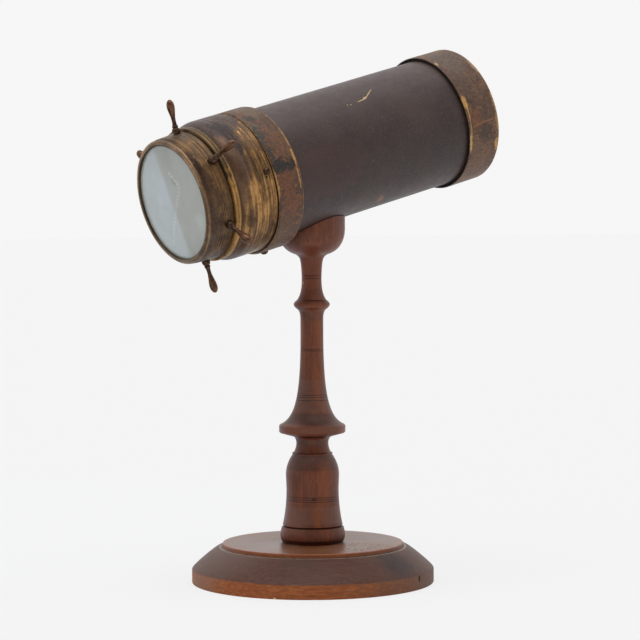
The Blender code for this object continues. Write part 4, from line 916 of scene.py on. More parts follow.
cap_front, cap_rear, cap_radius = reach("cap_skirt")
cap_stains = (
    (448, 62, 16.0, 9.0, (104, 90, 80), 0.6),
    (462, 84, 12.0, 7.0, (92, 72, 58), 0.6),
    (484, 104, 9.0, 7.0, (104, 78, 62), 0.7),
    (481, 114, 5.0, 8.0, (92, 68, 55), 0.6),
    (486, 134, 7.0, 6.0, (72, 52, 42), 0.7),
    (476, 119, 7.0, 5.0, (134, 84, 50), 0.6),
    (480, 158, 12.0, 8.0, (118, 84, 62), 0.6),
    (464, 101, 4.6, 1.8, PALE_BOARD, 0.95),
    (468.4, 111, 5.0, 0.7, (226, 180, 112), 0.9),
    (471.5, 143, 6.0, 0.9, (232, 190, 124), 0.95),
    (471.5, 127, 8.0, 0.6, (206, 158, 96), 0.85),
    (436.5, 64, 1.8, 1.0, (214, 174, 130), 0.95),
    (473, 66, 7.0, 1.2, (196, 154, 106), 0.85),
    (494, 102, 7.0, 1.3, (206, 156, 92), 0.9),
    (497, 120, 6.0, 0.9, (196, 146, 84), 0.8),
    (496.5, 144, 5.0, 1.4, PALE_BOARD, 0.95),
)
cap_tones = ((88, 62, 49), (116, 84, 62), (154, 108, 73))
CRACK_PIXELS = (((473, 128), (484, 121.5)), ((483, 122), (496, 118)))
cap_cracks = [[seen_on_round(pixel, cap_radius) for pixel in pair] for pair in CRACK_PIXELS]
cap_leather = leather_finish("cap_leather", cap_radius, marks_on(cap_radius, cap_stains),
                             ((cap_front, 0.12, 0.1), (cap_rear - 0.3, 0.35, 0.8)), cap_tones,
                             cut=0.35, cracks=cap_cracks)
print("leather finishes ready")

# %% [markdown]
# Both rings are turned from a closed outline with rounded edges, and then rippled, because leather
# drawn over board is never quite true. The cap's edge turns in over the end disc.
# %% The band and the eye cap
BAND_BORE_GAP = 0.35
CAP_WALL = 1.3
CAP_RIM = 2.2
CAP_RIM_THICKNESS = 0.8
EDGE_ROUND = 0.7
CAP_ROUND = 0.7
LEATHER_RIPPLE = (0.10, 9.0)
BAND_TRIM = 0.12
BAND_WALL = 1.6
CAP_TRIM = 0.2

band_steps = [band_front + (band_rear - band_front) * i / 12 for i in range(13)]
band_outline = [(band_radius - BAND_TRIM, s) for s in reversed(band_steps)]
band_outline += [(barrel_radius(s) + BAND_BORE_GAP, s) for s in (band_front, band_rear)]
band_shape = turned_shape(band_outline, RING_STEPS, soften=EDGE_ROUND)
rippled(band_shape, *LEATHER_RIPPLE)
outer_points = [vert for vert in band_shape.verts if vert.co.xy.length > (band_radius - BAND_WALL) * MM]
bmesh.ops.translate(band_shape, verts=outer_points, vec=(BAND_SAG * MM, 0, 0))
band_shape.transform(BARREL)
band = as_piece("leather_band", band_shape, band_leather)
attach(band, "stand")
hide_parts("front_band")

cap_bore = cap_radius - CAP_WALL
cap_steps = [cap_front + (cap_rear - cap_front) * i / 14 for i in range(15)]
cap_side = cap_radius - CAP_TRIM
cap_turn = flow((cap_side, cap_rear - CAP_ROUND), (cap_side - CAP_ROUND, cap_rear),
                ((0.0, 0.55), (0.45, 1.0)), 6)
cap_outline = [
    *reversed([(cap_side, s) for s in cap_steps if s < cap_rear - CAP_ROUND] + cap_turn),
    (cap_bore, cap_front), (cap_bore, cap_rear - CAP_RIM_THICKNESS),
    (cap_bore - CAP_RIM, cap_rear - CAP_RIM_THICKNESS), (cap_bore - CAP_RIM, cap_rear),
]
cap_shape = turned_shape(cap_outline, RING_STEPS, soften=0.5)
rippled(cap_shape, *LEATHER_RIPPLE, lambda point: 1.0 if point.xy.length > cap_bore * MM else 0.0)
cap_shape.transform(BARREL)
cap = as_piece("leather_cap", cap_shape, cap_leather)
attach(cap, "eye_cap")
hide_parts("cap_skirt")
print("band radius", round(band_radius, 1), "cap radius", round(cap_radius, 1))

# %% [markdown]
# The brass was spun from sheet and lacquered. The lacquer has gone, so the metal is bright where it
# was handled and brown where it was not, in rings that follow the lathe. Noise that is fine along the
# axis and slow round it draws those rings. Zones and stains then lay the dark lacquer over them.
# %% Finish of the brass
def brass_finish(name, tones, zones, tinted_marks, rings, contrast=1.0, pitted=0.5, rubbed=(), bore=0.0):
    """Tarnished brass in (bright, middle, dark) tones. A zone is (from, to, soft, tint, depth)."""
    made = new_finish(name)
    place = own_place(BARREL)
    station = axis_share(place, "Z")
    bright, middle, dark = tones
    lines = cloud(stretched(place, 0.012, 0.012, 1), rings, detail=4.0, rough=0.65)
    fine_lines = cloud(stretched(place, 0.02, 0.02, 1), rings * 0.35, detail=3.0)
    smears = cloud(stretched(place, 0.5, 0.5, 1), 6.0, detail=6.0, rough=0.62)
    mottle = cloud(place, 1.8, detail=6.0, rough=0.7)
    pits = cloud(place, 0.8, detail=3.0)
    tarnish = plus(both(lines, 0.40), plus(both(fine_lines, 0.20), both(smears, 0.40)))
    colour = blended(between(tarnish, 0.50 - 0.09 / contrast, 0.50 + 0.03 / contrast), dark, middle)
    colour = laid(colour, bright, between(tarnish, 0.50, 0.50 + 0.09 / contrast), 0.9)
    rag = cloud(stretched(place, 0.5, 0.5, 1), 3.0, detail=6.0, rough=0.7)
    wander = both(minus(rag, 0.5), 2.0 * MM)
    where = plus(station, wander)
    kept = 1.0
    for centre, around, along, depth in rubbed:
        bare = both(patch(place, centre, around, along, rag, 2.4), depth)
        kept = both(kept, minus(1.0, bare))
    for low, high, soft, tint, depth in zones:
        behind = between(where, (low - soft) * MM, (low + soft) * MM)
        before = between(where, (high + soft) * MM, (high - soft) * MM)
        colour = laid(colour, tint, behind, before, depth, kept)
    colour = marked(colour, place, rag, tinted_marks, 2.4)
    # painted shade: a dark ring on the inner edge of the rim's lip, round the glass
    painted_lip_shade = between(radius_from(place), (bore + 0.7) * MM, (bore + 0.4) * MM)
    colour = laid(colour, (58, 52, 40), painted_lip_shade, 0.85)
    grime = between(mottle, 0.58, 0.42)
    colour = laid(colour, blended(1.0, colour, (150, 130, 120), "MULTIPLY"), grime, 0.3)
    spots = both(between(pits, 0.34, 0.28), pitted)
    colour = blended(spots, colour, (38, 26, 20))
    gloss = scaled(tarnish, 0.40, 0.60, 0.52, 0.34)
    wire(colour=colour, rough=gloss, metal=0.75)
    height = plus(both(lines, 0.5), both(fine_lines, 0.3))
    bumped(minus(height, both(spots, 0.6)), 0.07)
    return made


collar_front, collar_rear, collar_radius = reach("collar")
drum_front, drum_rear, drum_radius = reach("case_drum")
bezel_front, bezel_rear, bezel_radius = reach("bezel_ring")
RIM_LIP = 35.1
DARK_LACQUER = (98, 77, 66)

# From and to along the axis, softness, tint, depth
collar_zones = (
    (-84.5, -71.5, 1.8, DARK_LACQUER, 0.85),
    (-64.9, -64.1, 0.3, (70, 52, 38), 0.7),
    (-62.4, -61.5, 0.3, (76, 56, 40), 0.6),
    (-59.2, -58.0, 0.3, (60, 44, 30), 0.6),
)
collar_rubbed = (
    (256, 214, 24.0, 9.0, 0.75),
    (262, 196, 22.0, 6.5, 0.95),
)
collar_stains_and_highlights = (
    # painted sheen: a purple-grey patch over the top of the collar's front
    (206, 120, 30.0, 20.0, (96, 80, 76), 0.9),
    (227, 136, 17.0, 8.0, (62, 54, 52), 0.85),
    (234, 160, 20.0, 6.0, (112, 86, 70), 0.8),
    (243, 186, 16.0, 4.0, (124, 94, 70), 0.6),
    (251, 222, 4.0, 3.0, (84, 60, 42), 0.6),
    # painted highlight: the two pale patches on the collar's underside
    (230, 249, 14.0, 8.0, (118, 96, 80), 0.7),
    (246, 256.5, 8.0, 10.0, (172, 146, 126), 0.8),
    (249, 136, 12.0, 8.0, (118, 92, 66), 0.65),
    (266.5, 177, 0.6, 0.6, (24, 16, 12), 1.0),
    (258, 204, 0.5, 0.5, (24, 16, 12), 0.9),
)
collar_tones = ((208, 158, 96), (152, 114, 70), (92, 69, 49))
collar_brass = brass_finish("collar_brass", collar_tones, collar_zones,
                            marks_on(collar_radius, collar_stains_and_highlights), rings=0.7, contrast=1.1,
                            pitted=0.5, rubbed=marks_on(collar_radius, collar_rubbed))
drum_zones = ((-90.4, -88.4, 0.4, (90, 68, 46), 0.6),)
drum_stains = (
    (188, 133, 16.0, 9.0, (114, 92, 72), 0.85),
    (201, 151, 9.0, 4.0, (104, 80, 58), 0.8),
    (199, 167, 7.0, 2.4, (56, 42, 34), 0.85),
    (218, 172, 10.0, 3.0, (140, 102, 62), 0.4),
    (214, 202, 18.0, 6.5, (96, 72, 56), 0.7),
    (212, 232, 16.0, 9.0, (88, 70, 58), 0.8),
    (203, 252, 14.0, 9.0, (106, 94, 84), 0.75),
)
drum_tones = ((138, 104, 66), (108, 82, 56), (74, 56, 43))
drum_brass = brass_finish("case_brass", drum_tones, drum_zones, marks_on(drum_radius, drum_stains),
                          rings=0.75, contrast=1.2, pitted=0.7)
lip_zones = ((-84.4, -83.2, 0.3, (50, 38, 26), 0.8),)
lip_stains = ((200, 133, 34.0, 8.0, (86, 74, 54), 0.8),)
lip_tones = ((232, 176, 104), (192, 147, 88), (134, 102, 66))
lip_brass = brass_finish("lip_brass", lip_tones, lip_zones, marks_on(collar_radius, lip_stains),
                         rings=1.2, contrast=0.5, pitted=0.3)
rim_stains = (
    (150, 240, 40.0, 8.0, (122, 104, 84), 0.4),
    (204, 205, 16.0, 8.0, (126, 100, 76), 0.75),
)
rim_tones = ((204, 164, 124), (170, 139, 106), (120, 98, 78))
rim_brass = brass_finish("rim_brass", rim_tones, (), marks_on(bezel_radius, rim_stains),
                         rings=1.2, contrast=0.9, pitted=0.5, bore=RIM_LIP)
print("brass finishes ready")

# %% [markdown]
# The collar is spun from one sheet: a narrow lip in which the case runs, a step up over a shoulder,
# and a broad band with turned lines. The drum of the case follows it with a small gap. Both outlines
# are closed chains, so the spun pieces have a real wall with an inside.
# %% The collar
LIP_RADIUS = 41.6
LIP_WIDTH = 4.8
SHOULDER_LENGTH = 7.2
SHEET = 0.8
LIP_THICKNESS = 1.6
MOUTH_RADIUS = 38.3

lip_rear = collar_front + LIP_WIDTH
shoulder_rear = lip_rear + SHOULDER_LENGTH
quirk = (LIP_RADIUS - 0.5, lip_rear + 0.4)
lip_outline = [
    (LIP_RADIUS - 1.0, collar_front), (LIP_RADIUS - 0.3, collar_front + 0.3),
    (LIP_RADIUS, collar_front + 1.0), (LIP_RADIUS - 0.05, collar_front + 1.7),
    (LIP_RADIUS - 0.5, collar_front + 2.1), (LIP_RADIUS - 0.05, collar_front + 2.5),
    (LIP_RADIUS + 0.05, lip_rear - 1.3), (LIP_RADIUS - 0.1, lip_rear - 0.5),
    (LIP_RADIUS - 0.45, lip_rear),
]
shoulder_outline = [quirk] + flow(quirk, (collar_radius, shoulder_rear), ((0.55, 0.20), (1.0, 0.55)), 10)
collar_lines = [(s, 0.5, 0.12) for s in (-74.6, -71.4, -69.0, -66.9, -65.6, -63.9, -61.3, -60.2)]
collar_side = scribed([(collar_radius, collar_rear - 0.5), (collar_radius, shoulder_rear)], collar_lines)
inner_lip = LIP_RADIUS - 0.4 - SHEET
collar_outline = [
    (collar_radius - 0.35, collar_rear), *collar_side,
    *reversed(shoulder_outline[:-1]), *reversed(lip_outline),
    (MOUTH_RADIUS, collar_front), (MOUTH_RADIUS, collar_front + LIP_THICKNESS),
    (inner_lip, collar_front + LIP_THICKNESS), (inner_lip, lip_rear + SHEET),
    (collar_radius - SHEET, shoulder_rear), (collar_radius - SHEET, collar_rear),
]
collar = turned("spun_collar", collar_outline, RING_STEPS, collar_brass, BARREL)
second_finish(collar, lip_brass, lambda spot: (TO_BARREL @ spot).z < lip_rear * MM)
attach(collar, "stand")
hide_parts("collar")
print("collar from", round(collar_front, 1), "to", round(collar_rear, 1))

# %% [markdown]
# The object case is a drum with a rolled rim over its glass. Behind the drum a thinner spigot runs in
# the collar's lip, so a dark gap shows between the two. A raised bead and some shallow steps were left
# by the spinner's tool, and they catch the light as thin golden rings.
# %% The object case
SPIGOT_RADIUS = 37.8
SPIGOT_BORE = 36.4
DRUM_BORE = 37.5
GLASS_LEDGE = 1.5
DRUM_LENGTH = 13.4
DRUM_FRONT_RADIUS = 39.0
DRUM_REAR_RADIUS = 39.7
drum_back = drum_front + DRUM_LENGTH


def drum_side(station):
    return DRUM_FRONT_RADIUS + (DRUM_REAR_RADIUS - DRUM_FRONT_RADIUS) * (station - drum_front) / DRUM_LENGTH


drum_lines = [(s, 0.45, 0.14) for s in (-101.2, -100.3, -99.4, -98.2, -96.6, -94.4, -91.6)]
drum_surface = scribed([(drum_side(drum_back - 1.1), drum_back - 1.1),
                        (drum_side(drum_front), drum_front + 0.1)], drum_lines)
drum_outline = [
    (SPIGOT_RADIUS, drum_rear), (SPIGOT_RADIUS, drum_back), (DRUM_REAR_RADIUS - 0.5, drum_back),
    (DRUM_REAR_RADIUS, drum_back - 0.3), (DRUM_REAR_RADIUS, drum_back - 0.8), *drum_surface,
    (drum_side(drum_front) - 0.1, drum_front), (DRUM_BORE, drum_front),
    (DRUM_BORE, drum_back - GLASS_LEDGE), (SPIGOT_BORE, drum_back - GLASS_LEDGE),
    (SPIGOT_BORE, drum_rear),
]
drum = turned("case_shell", drum_outline, RING_STEPS, drum_brass, BARREL)
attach(drum, "object_case")
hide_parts("case_drum")

RIM_SKIRT = 37.2
RIM_SKIRT_WALL = 0.9
RIM_DEPTH = 1.4
rim_back = drum_front - 0.06
rim_lip_rear = bezel_front + 1.3
rim_side = scribed([(DRUM_FRONT_RADIUS - 0.1, rim_back), (bezel_radius, bezel_front + RIM_DEPTH)],
                   [(s, 0.4, 0.14) for s in (-102.5, -103.3, -104.2)])
crest = (RIM_LIP + 1.1, bezel_front)
rim_bore = RIM_SKIRT - RIM_SKIRT_WALL
rim_outline = [
    (RIM_SKIRT, bezel_rear), (RIM_SKIRT, rim_back), *rim_side[:-1],
    *reversed([crest] + flow(crest, rim_side[-1], ((0.5, 0.0), (0.97, 0.5)), 10)),
    *flow(crest, (RIM_LIP, bezel_front + 0.3), ((0.6, 0.0), (1.0, 0.5)), 5),
    (RIM_LIP, rim_lip_rear), (rim_bore, rim_lip_rear), (rim_bore, bezel_rear),
]
rim = turned("rolled_rim", rim_outline, RING_STEPS, rim_brass, BARREL)
second_finish(rim, drum_brass, lambda spot: (TO_BARREL @ spot).z > (bezel_front + RIM_DEPTH) * MM)
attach(rim, "object_case")
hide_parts("bezel_ring")
print("drum", round(drum_front, 1), "to", round(drum_back, 1), "rim radius", round(bezel_radius, 1))

# %% [markdown]
# Six small handles are turned like the spokes of a ship's wheel, from thin rod: a boss, a collar, a
# neck and a long bulb. The frame says where each of them stands, and the lathe makes the finer shape
# with a soft, pinched outline. Dark patina, rubbed on the bulb, finishes them.
# %% The handles
HANDLE_OUTLINE = (
    (2.55, 0.0), (2.6, 0.6), (2.5, 1.5), (2.2, 2.3), (1.8, 2.7), (1.65, 3.0), (1.75, 3.3), (1.9, 3.7),
    (1.75, 4.2), (1.5, 4.6), (1.35, 5.2), (1.25, 6.6), (1.25, 8.0), (1.4, 9.6), (1.72, 11.4),
    (2.08, 13.2), (2.32, 14.8), (2.4, 15.9), (2.34, 17.0), (2.14, 18.1), (1.82, 18.9), (1.35, 19.6),
    (0.8, 20.1), (0.3, 20.3), (0.0, 20.35),
)
HANDLE_LENGTH = 20.6
HANDLE_ROOT = ((0, -2.0), (1.2, -2.0), (1.2, 0.0))


def on_curve(p, q, r, s, t):
    """A number on the smooth curve from q to r, whose neighbours are p and s."""
    bend = (2 * p - 5 * q + 4 * r - s) * t * t
    return (2 * q + (r - p) * t + bend + (3 * q - p - 3 * r + s) * t ** 3) / 2


def smooth_chain(points, parts=3):
    """A finer chain of points on a smooth curve through the given ones."""
    padded = [points[0], *points, points[-1]]
    result = [points[0]]
    for a, b, c, d in zip(padded, padded[1:], padded[2:], padded[3:]):
        for step in range(1, parts + 1):
            t = step / parts
            result.append(tuple(on_curve(*four, t) for four in zip(a, b, c, d)))
    return result


def handle_finish():
    """Dark bronze at the boss, rubbed golden brown where fingers turn it."""
    made = new_finish("handle_bronze")
    place = own_place(BARREL)
    mottle = cloud(place, 2.4, detail=6.0, rough=0.65)
    broad = cloud(place, 7.0, detail=3.0)
    wander = both(minus(mottle, 0.5), 8 * MM)
    worn = between(plus(radius_from(place), wander), 47 * MM, 53 * MM)
    colour = blended(between(mottle, 0.36, 0.64), (62, 44, 36), (98, 72, 56))
    rubbed = blended(between(mottle, 0.38, 0.62), (98, 67, 48), (134, 94, 66))
    colour = laid(colour, rubbed, worn, 0.75)
    colour = laid(colour, (86, 62, 52), between(broad, 0.54, 0.68), 0.5)
    gloss = scaled(mottle, 0.3, 0.7, 0.30, 0.50)
    wire(colour=colour, rough=gloss, metal=0.8)
    bumped(mottle, 0.05)
    return made


handle_bronze = handle_finish()
handle_profile = smooth_chain(HANDLE_OUTLINE)
for number in range(1, 7):
    node = f"spoke_{number}"
    points = barrel_points(node)
    tip = max(points, key=lambda p: p.xy.length)
    inner_reach = min(p.xy.length for p in points)
    foot_ring = [p for p in points if p.xy.length < inner_reach + 0.5 * MM]
    foot_middle = sum(foot_ring, Vector()) / len(foot_ring)
    out = Vector((foot_middle.x, foot_middle.y, 0)).normalized()
    upright = Matrix.Translation((0, 0, foot_middle.z)) @ out.to_track_quat("Z", "X").to_matrix().to_4x4()
    bent_tip = upright.inverted() @ tip
    seat = upright @ Matrix.Translation((0, 0, bent_tip.z - HANDLE_LENGTH * MM))
    handle_shape = turned_shape([*HANDLE_ROOT, *handle_profile], ROD_STEPS, closed=False)
    for vert in handle_shape.verts:
        share = max(vert.co.z, 0) / (HANDLE_LENGTH * MM)
        vert.co += Vector((bent_tip.x, bent_tip.y, 0)) * share
    handle_shape.transform(BARREL @ seat)
    handle = as_piece(f"handle_{number}", handle_shape, handle_bronze)
    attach(handle, "object_case")
    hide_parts(node)
    print(node, "bent by", round(bent_tip.xy.length / MM, 1), "mm")
print("six handles,", len(handle.data.polygons), "faces each")

# %% [markdown]
# The front glass is ground on its inner side. It scatters light like milk glass and lets only a hint
# of the cell through, while its outer side is polished and mirrors the room. So the body is a pale,
# rough, slightly see-through colour under a clear coat, and not clear glass.
# %% The front glass
def seen_on_flat(pixel, station):
    """Where the sight line of a pixel meets a flat face square to the barrel."""
    start = TO_BARREL @ CAMERA_PLACE
    way = TO_BARREL.to_3x3() @ sight(pixel)
    return start + way * ((station * MM - start.z) / way.z)


def marks_on_glass(rows):
    return [(seen_on_flat((across, down), glass_front), *rest) for across, down, *rest in rows]


GLASS_SMEAR = ((161, 201, 3.4, 8.0, (228, 230, 232), 0.4),)
GLASS_BLOOM = ((167, 190, 9.0, 9.0, (226, 232, 238), 0.45),)
# painted shade at the top, below the rim's edge, and painted light towards the right edge
GLASS_PAINTED_SHADE_AND_LIGHT = ((163, 156, 7.0, 8.0, (198, 199, 188), 0.4), (200, 222, 5.0, 17.0, (234, 242, 236), 0.6))
BESIDE_CANE = ((174, 181, 3.0, 8.0, (172, 177, 170), 0.4),)
CANE_PIXELS = ((169, 173.5), (173, 178), (178.2, 185), (179.4, 190.7), (177.6, 198), (175.4, 215),
               (174, 227), (173.6, 244))
CANE_HALF_WIDTH = 1.9


def ground_glass_finish():
    made = new_finish("ground_glass")
    place = own_place(BARREL)
    haze = cloud(place, 12.0, detail=5.0, rough=0.6)
    fine = cloud(place, 1.6, detail=6.0, rough=0.7)
    colour = blended(between(haze, 0.36, 0.64), (210, 214, 208), (218, 221, 216))
    colour = laid(colour, (218, 222, 220), between(fine, 0.54, 0.68), 0.3)
    for rag, ragged, soft, rows in ((fine, 2.6, 0.15, GLASS_SMEAR), (haze, 1.6, 0.7, GLASS_BLOOM),
                                    (haze, 1.2, 0.7, GLASS_PAINTED_SHADE_AND_LIGHT)):
        colour = marked(colour, place, rag, marks_on_glass(rows), ragged, soft)
    spots = [seen_on_flat(pixel, glass_front) for pixel in CANE_PIXELS]
    line = either(*[scratch_mask(place, start, end, 0.0, fine, CANE_HALF_WIDTH)
                    for start, end in zip(spots, spots[1:])])
    beads = maths("SINE", both(axis_share(place, "X"), math.tau / (2.3 * MM)))
    beads = plus(both(beads, 0.6), both(fine, 5.0))
    line = both(line, between(beads, 1.4, 3.4))
    colour = marked(colour, place, fine, marks_on_glass(BESIDE_CANE), 1.2)
    fading = between(axis_share(place, "X"), 24 * MM, -4 * MM)
    strength = plus(0.45, both(fading, 0.45))
    colour = laid(colour, (240, 242, 236), line, strength)
    wire(colour=colour, rough=0.5, alpha=0.9, shine=0.1, coat=1.0, coat_rough=0.03, coat_index=1.85)
    return made


glass_front, glass_rear, glass_radius = reach("front_glass")
ground_glass = ground_glass_finish()
pane_radius = glass_radius - 0.05
glass_outline = [(0, glass_rear), (pane_radius, glass_rear), (pane_radius, glass_front),
                 (pane_radius - 1.0, glass_front), (0, glass_front)]
front_pane = turned("ground_pane", glass_outline, DISC_STEPS, ground_glass, BARREL, closed=False,
                    soften=0.25)
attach(front_pane, "object_case")
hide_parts("front_glass")
print("glass across", round(glass_radius * 2, 1), "mm")

# %% [markdown]
# The screws and the pin are blackened steel with a shallow slot or a plain dome. They are tiny, but a
# round head with a real slot is what makes a screw read as one.
# %% Screws and the pin
def steel_finish():
    made = new_finish("blackened_steel")
    place = own_place()
    mottle = cloud(place, 1.2, detail=5.0, rough=0.65)
    colour = blended(between(mottle, 0.40, 0.64), (50, 36, 30), (106, 74, 54))
    wire(colour=colour, rough=0.42, metal=0.7)
    bumped(mottle, 0.04)
    return made


blackened_steel = steel_finish()
SCREW_HEAD = ((2.2, 0.0), (2.2, 0.3), (1.95, 0.8), (1.35, 1.25), (0.6, 1.45), (0.0, 1.5))
PIN_HEAD = ((2.35, 0.0), (2.4, 0.4), (2.1, 1.1), (1.4, 1.65), (0.6, 1.9), (0.0, 1.95))
SCREW_SHANK = (0.9, 4.8)
PIN_SHANK = (0.6, 3.0)
SCREW_RISE = 1.5
PIN_RISE = 2.8
SLOT_SIZE = (5.0 * MM, 0.5 * MM, 1.4 * MM, 1.0)


def head_seat(node, head_height):
    """Where a radial screw or pin stands: its matrix in the world, with Z pointing outwards."""
    points = barrel_points(node)
    top = max(points, key=lambda p: p.xy.length)
    station = sum(p.z for p in points) / len(points)
    out = Vector((top.x, top.y, 0)).normalized()
    place = Matrix.Translation(out * (top.xy.length - head_height * MM) + Vector((0, 0, station)))
    return BARREL @ place @ out.to_track_quat("Z", "X").to_matrix().to_4x4()


def screw(name, node, head, shank, slot_turn=None, rise=SCREW_RISE):
    shank_radius, shank_length = shank
    outline = [(0, -shank_length), (shank_radius, 0.8 - shank_length), (shank_radius, 0), *head]
    seat = head_seat(node, rise)
    made = turned(name, outline, ROD_STEPS, blackened_steel, seat, closed=False)
    if slot_turn is not None:
        cutter = bmesh.new()
        slot_place = Matrix.Translation((0, 0, SCREW_RISE * MM)) @ Matrix.Rotation(slot_turn, 4, "Z")
        bmesh.ops.create_cube(cutter, size=1.0, matrix=seat @ slot_place @ Matrix.Diagonal(SLOT_SIZE))
        carved(made, as_piece("slot", cutter))
    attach(made, "stand")
    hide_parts(node)
    return made


for number, slot_turn in ((1, 0.9), (2, 2.1), (3, 0.3)):
    screw(f"collar_screw_head_{number}", f"collar_screw_{number}", SCREW_HEAD, SCREW_SHANK, slot_turn)
screw("band_pin_head", "band_pin", PIN_HEAD, PIN_SHANK, rise=PIN_RISE)
print("three screws and a pin")

# %% [markdown]
# Inside the barrel and the cap are plain working pieces: rolled board, wooden discs, black card, two
# mirrors and loose coloured glass. Their frame solids already have the right shape, so only a finish is
# laid on them. Each finish is cloudy noise between two tones, which also drives the roughness.
# %% Finishes of the inner pieces
def inner_finish(name, low, high, size, dull, sheen=0.0, stretch=(1, 1, 1), clear=0.0, relief=0.05):
    """Two tones in clouds of size millimetres. Dull is the roughness (least, most)."""
    made = new_finish(name)
    place = stretched(own_place(BARREL), *stretch)
    broad = cloud(place, size, detail=5.0, rough=0.6)
    fine = cloud(place, size * 0.2, detail=4.0, rough=0.65)
    mixed = plus(both(broad, 0.6), both(fine, 0.4))
    colour = blended(between(mixed, 0.40, 0.60), low, high)
    gloss = scaled(mixed, 0.3, 0.7, *dull)
    wire(colour=colour, rough=gloss, metal=sheen, clear=clear)
    bumped(fine, relief)
    return made


def dress(finish, *nodes):
    for node in nodes:
        for place in frame["nodes"][node].material_slots:
            place.material = finish


ACROSS_GRAIN = (1, 0.08, 1)
pasteboard = inner_finish("rolled_pasteboard", (112, 92, 68), (150, 128, 98), 4.0, (0.75, 0.9))
black_card = inner_finish("black_card", (28, 26, 25), (48, 44, 41), 3.0, (0.7, 0.9))
disc_wood = inner_finish("disc_wood", (134, 98, 62), (174, 134, 90), 1.6, (0.6, 0.8),
                         stretch=ACROSS_GRAIN)
silvering = inner_finish("mirror_silvering", (196, 200, 200), (226, 228, 228), 9.0,
                         (0.04, 0.14), sheen=1.0)
clear_glass = inner_finish("clear_glass", (226, 236, 232), (240, 246, 243), 12.0, (0.02, 0.07),
                           clear=1.0, relief=0.01)
dress(pasteboard, "barrel_tube", "collar_liner", "cell_spacer")
dress(black_card, "mirror_cover", "eye_glass_keeper", "cap_lining")
dress(disc_wood, "mirror_former_front", "mirror_former_rear")
dress(silvering, "mirror_left", "mirror_right")
dress(clear_glass, "inner_glass", "eye_glass")
dress(drum_brass, "keeper_ring")
dress(blackened_steel, "saddle_screw_front", "saddle_screw_rear")

LOOSE_GLASS = {
    "ampoule_1": ((150, 30, 26), (190, 58, 44)),
    "ampoule_2": ((36, 66, 140), (66, 104, 180)),
    "ampoule_3": ((180, 116, 26), (216, 158, 60)),
    "bead_1": ((30, 104, 56), (60, 140, 84)),
    "bead_2": ((190, 152, 30), (222, 190, 70)),
    "bead_3": ((92, 44, 122), (126, 78, 158)),
    "shard_1": ((22, 110, 116), (54, 146, 150)),
    "shard_2": ((160, 32, 34), (200, 64, 58)),
    "shard_3": ((34, 70, 150), (64, 106, 190)),
    "shard_4": ((40, 120, 60), (76, 156, 92)),
    "glass_cane": ((214, 218, 212), (240, 242, 238)),
}
for node, (low, high) in LOOSE_GLASS.items():
    tinted = inner_finish(f"{node}_colour", low, high, 3.0, (0.03, 0.12), clear=0.8,
                          relief=0.02)
    dress(tinted, node)
print("inner pieces finished")

# %% [markdown]
# The eye end is what a user sees first, so its disc and its eyelet are turned finely. The disc is card
# with a softly pressed edge and a shallow ring, and the eyelet is a small brass cup rolled over the
# hole, in two brass tones that wander in fine clouds.
# %% The eye end
disc_front, disc_rear, disc_radius = reach("eye_disc")
eyelet_front, eyelet_rear, eyelet_radius = reach("eyelet")
_, eye_glass_rear, eye_glass_radius = reach("eye_glass")
inner_reach, hole_radius = [min(p.xy.length for p in barrel_points(node)) / MM
                            for node in ("eyelet", "eye_disc")]
RING_RADIUS = 27.0
recess = (eye_glass_radius + 0.3, eye_glass_rear + 0.3)
disc_outline = [
    (hole_radius, recess[1]), recess, (recess[0], disc_front), (disc_radius, disc_front),
    (disc_radius, disc_rear - 0.3), (disc_radius - 0.3, disc_rear),
    (RING_RADIUS + 0.5, disc_rear), (RING_RADIUS, disc_rear - 0.25), (RING_RADIUS - 0.5, disc_rear),
    (hole_radius, disc_rear),
]
eye_card = inner_finish("worn_black_card", (40, 35, 32), (70, 60, 53), 5.0, (0.55, 0.85),
                        relief=0.12)
disc = turned("eye_card", disc_outline, DISC_STEPS, eye_card, BARREL)
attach(disc, "eye_cap")
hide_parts("eye_disc")

flange = eyelet_rear - disc_rear
eyelet_brass = inner_finish("eyelet_brass", (126, 96, 58), (160, 124, 76), 1.0,
                            (0.30, 0.50), sheen=0.8)
eyelet_outline = side_of((
    (inner_reach, eyelet_front),
    (inner_reach, disc_rear),
    (inner_reach + 1.1, eyelet_rear, ((0.0, 0.6), (0.4, 1.0)), 6),
    (eyelet_radius, eyelet_rear - flange * 0.6, ((0.4, 0.0), (1.0, 0.4)), 6),
    (eyelet_radius, disc_rear + 0.3),
    (hole_radius - 0.3, disc_rear + 0.3),
    (hole_radius - 0.3, eyelet_front),
))
eyelet = turned("rolled_eyelet", eyelet_outline, EYELET_STEPS, eyelet_brass, BARREL)
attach(eyelet, "eye_cap")
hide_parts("eyelet")
print("eyelet", round(inner_reach * 2, 1), "mm inside,", round(eyelet_radius * 2, 1), "mm across")

# %% [markdown]
# The studio is a pale floor that runs back without a seam, under a broad soft lamp, with a room that is
# darker behind the camera. That dark side is what draws the broad shading on the varnish and the
# brass. The background's white comes from what camera and mirror rays see, not from more light. Two
# cards on the floor are what the front glass mirrors: the edge between them is the line across it.
# %% The studio
scene = bpy.context.scene
scene.view_settings.view_transform = "Standard"
BACKDROP = 0.925
FLOOR_OWN_SHARE = 0.22
FLOOR_GLOW = 0.97
FLOOR_SIZE = 60.0
REFLECTED_EDGE = ((189, 250), (152.5, 147))
CARD_WIDTH = 0.5
CARD_LIFT = 0.004
ROOM_DARK = (0.22, 0.21, 0.20, 1.0)
ROOM_LIT = (0.93, 0.935, 0.94, 1.0)
ROOM_POWER = 0.62
FLOOR_TONE = (0.86, 0.86, 0.86, 1.0)
WINDOW_TINT = (0.62, 0.80, 1.0, 1.0)
DARK_TINT = (0.05, 0.06, 0.04, 1.0)


def seen_directly():
    path = add_node("ShaderNodeLightPath").outputs
    return either(path["Is Camera Ray"], path["Is Glossy Ray"], path["Is Transmission Ray"])


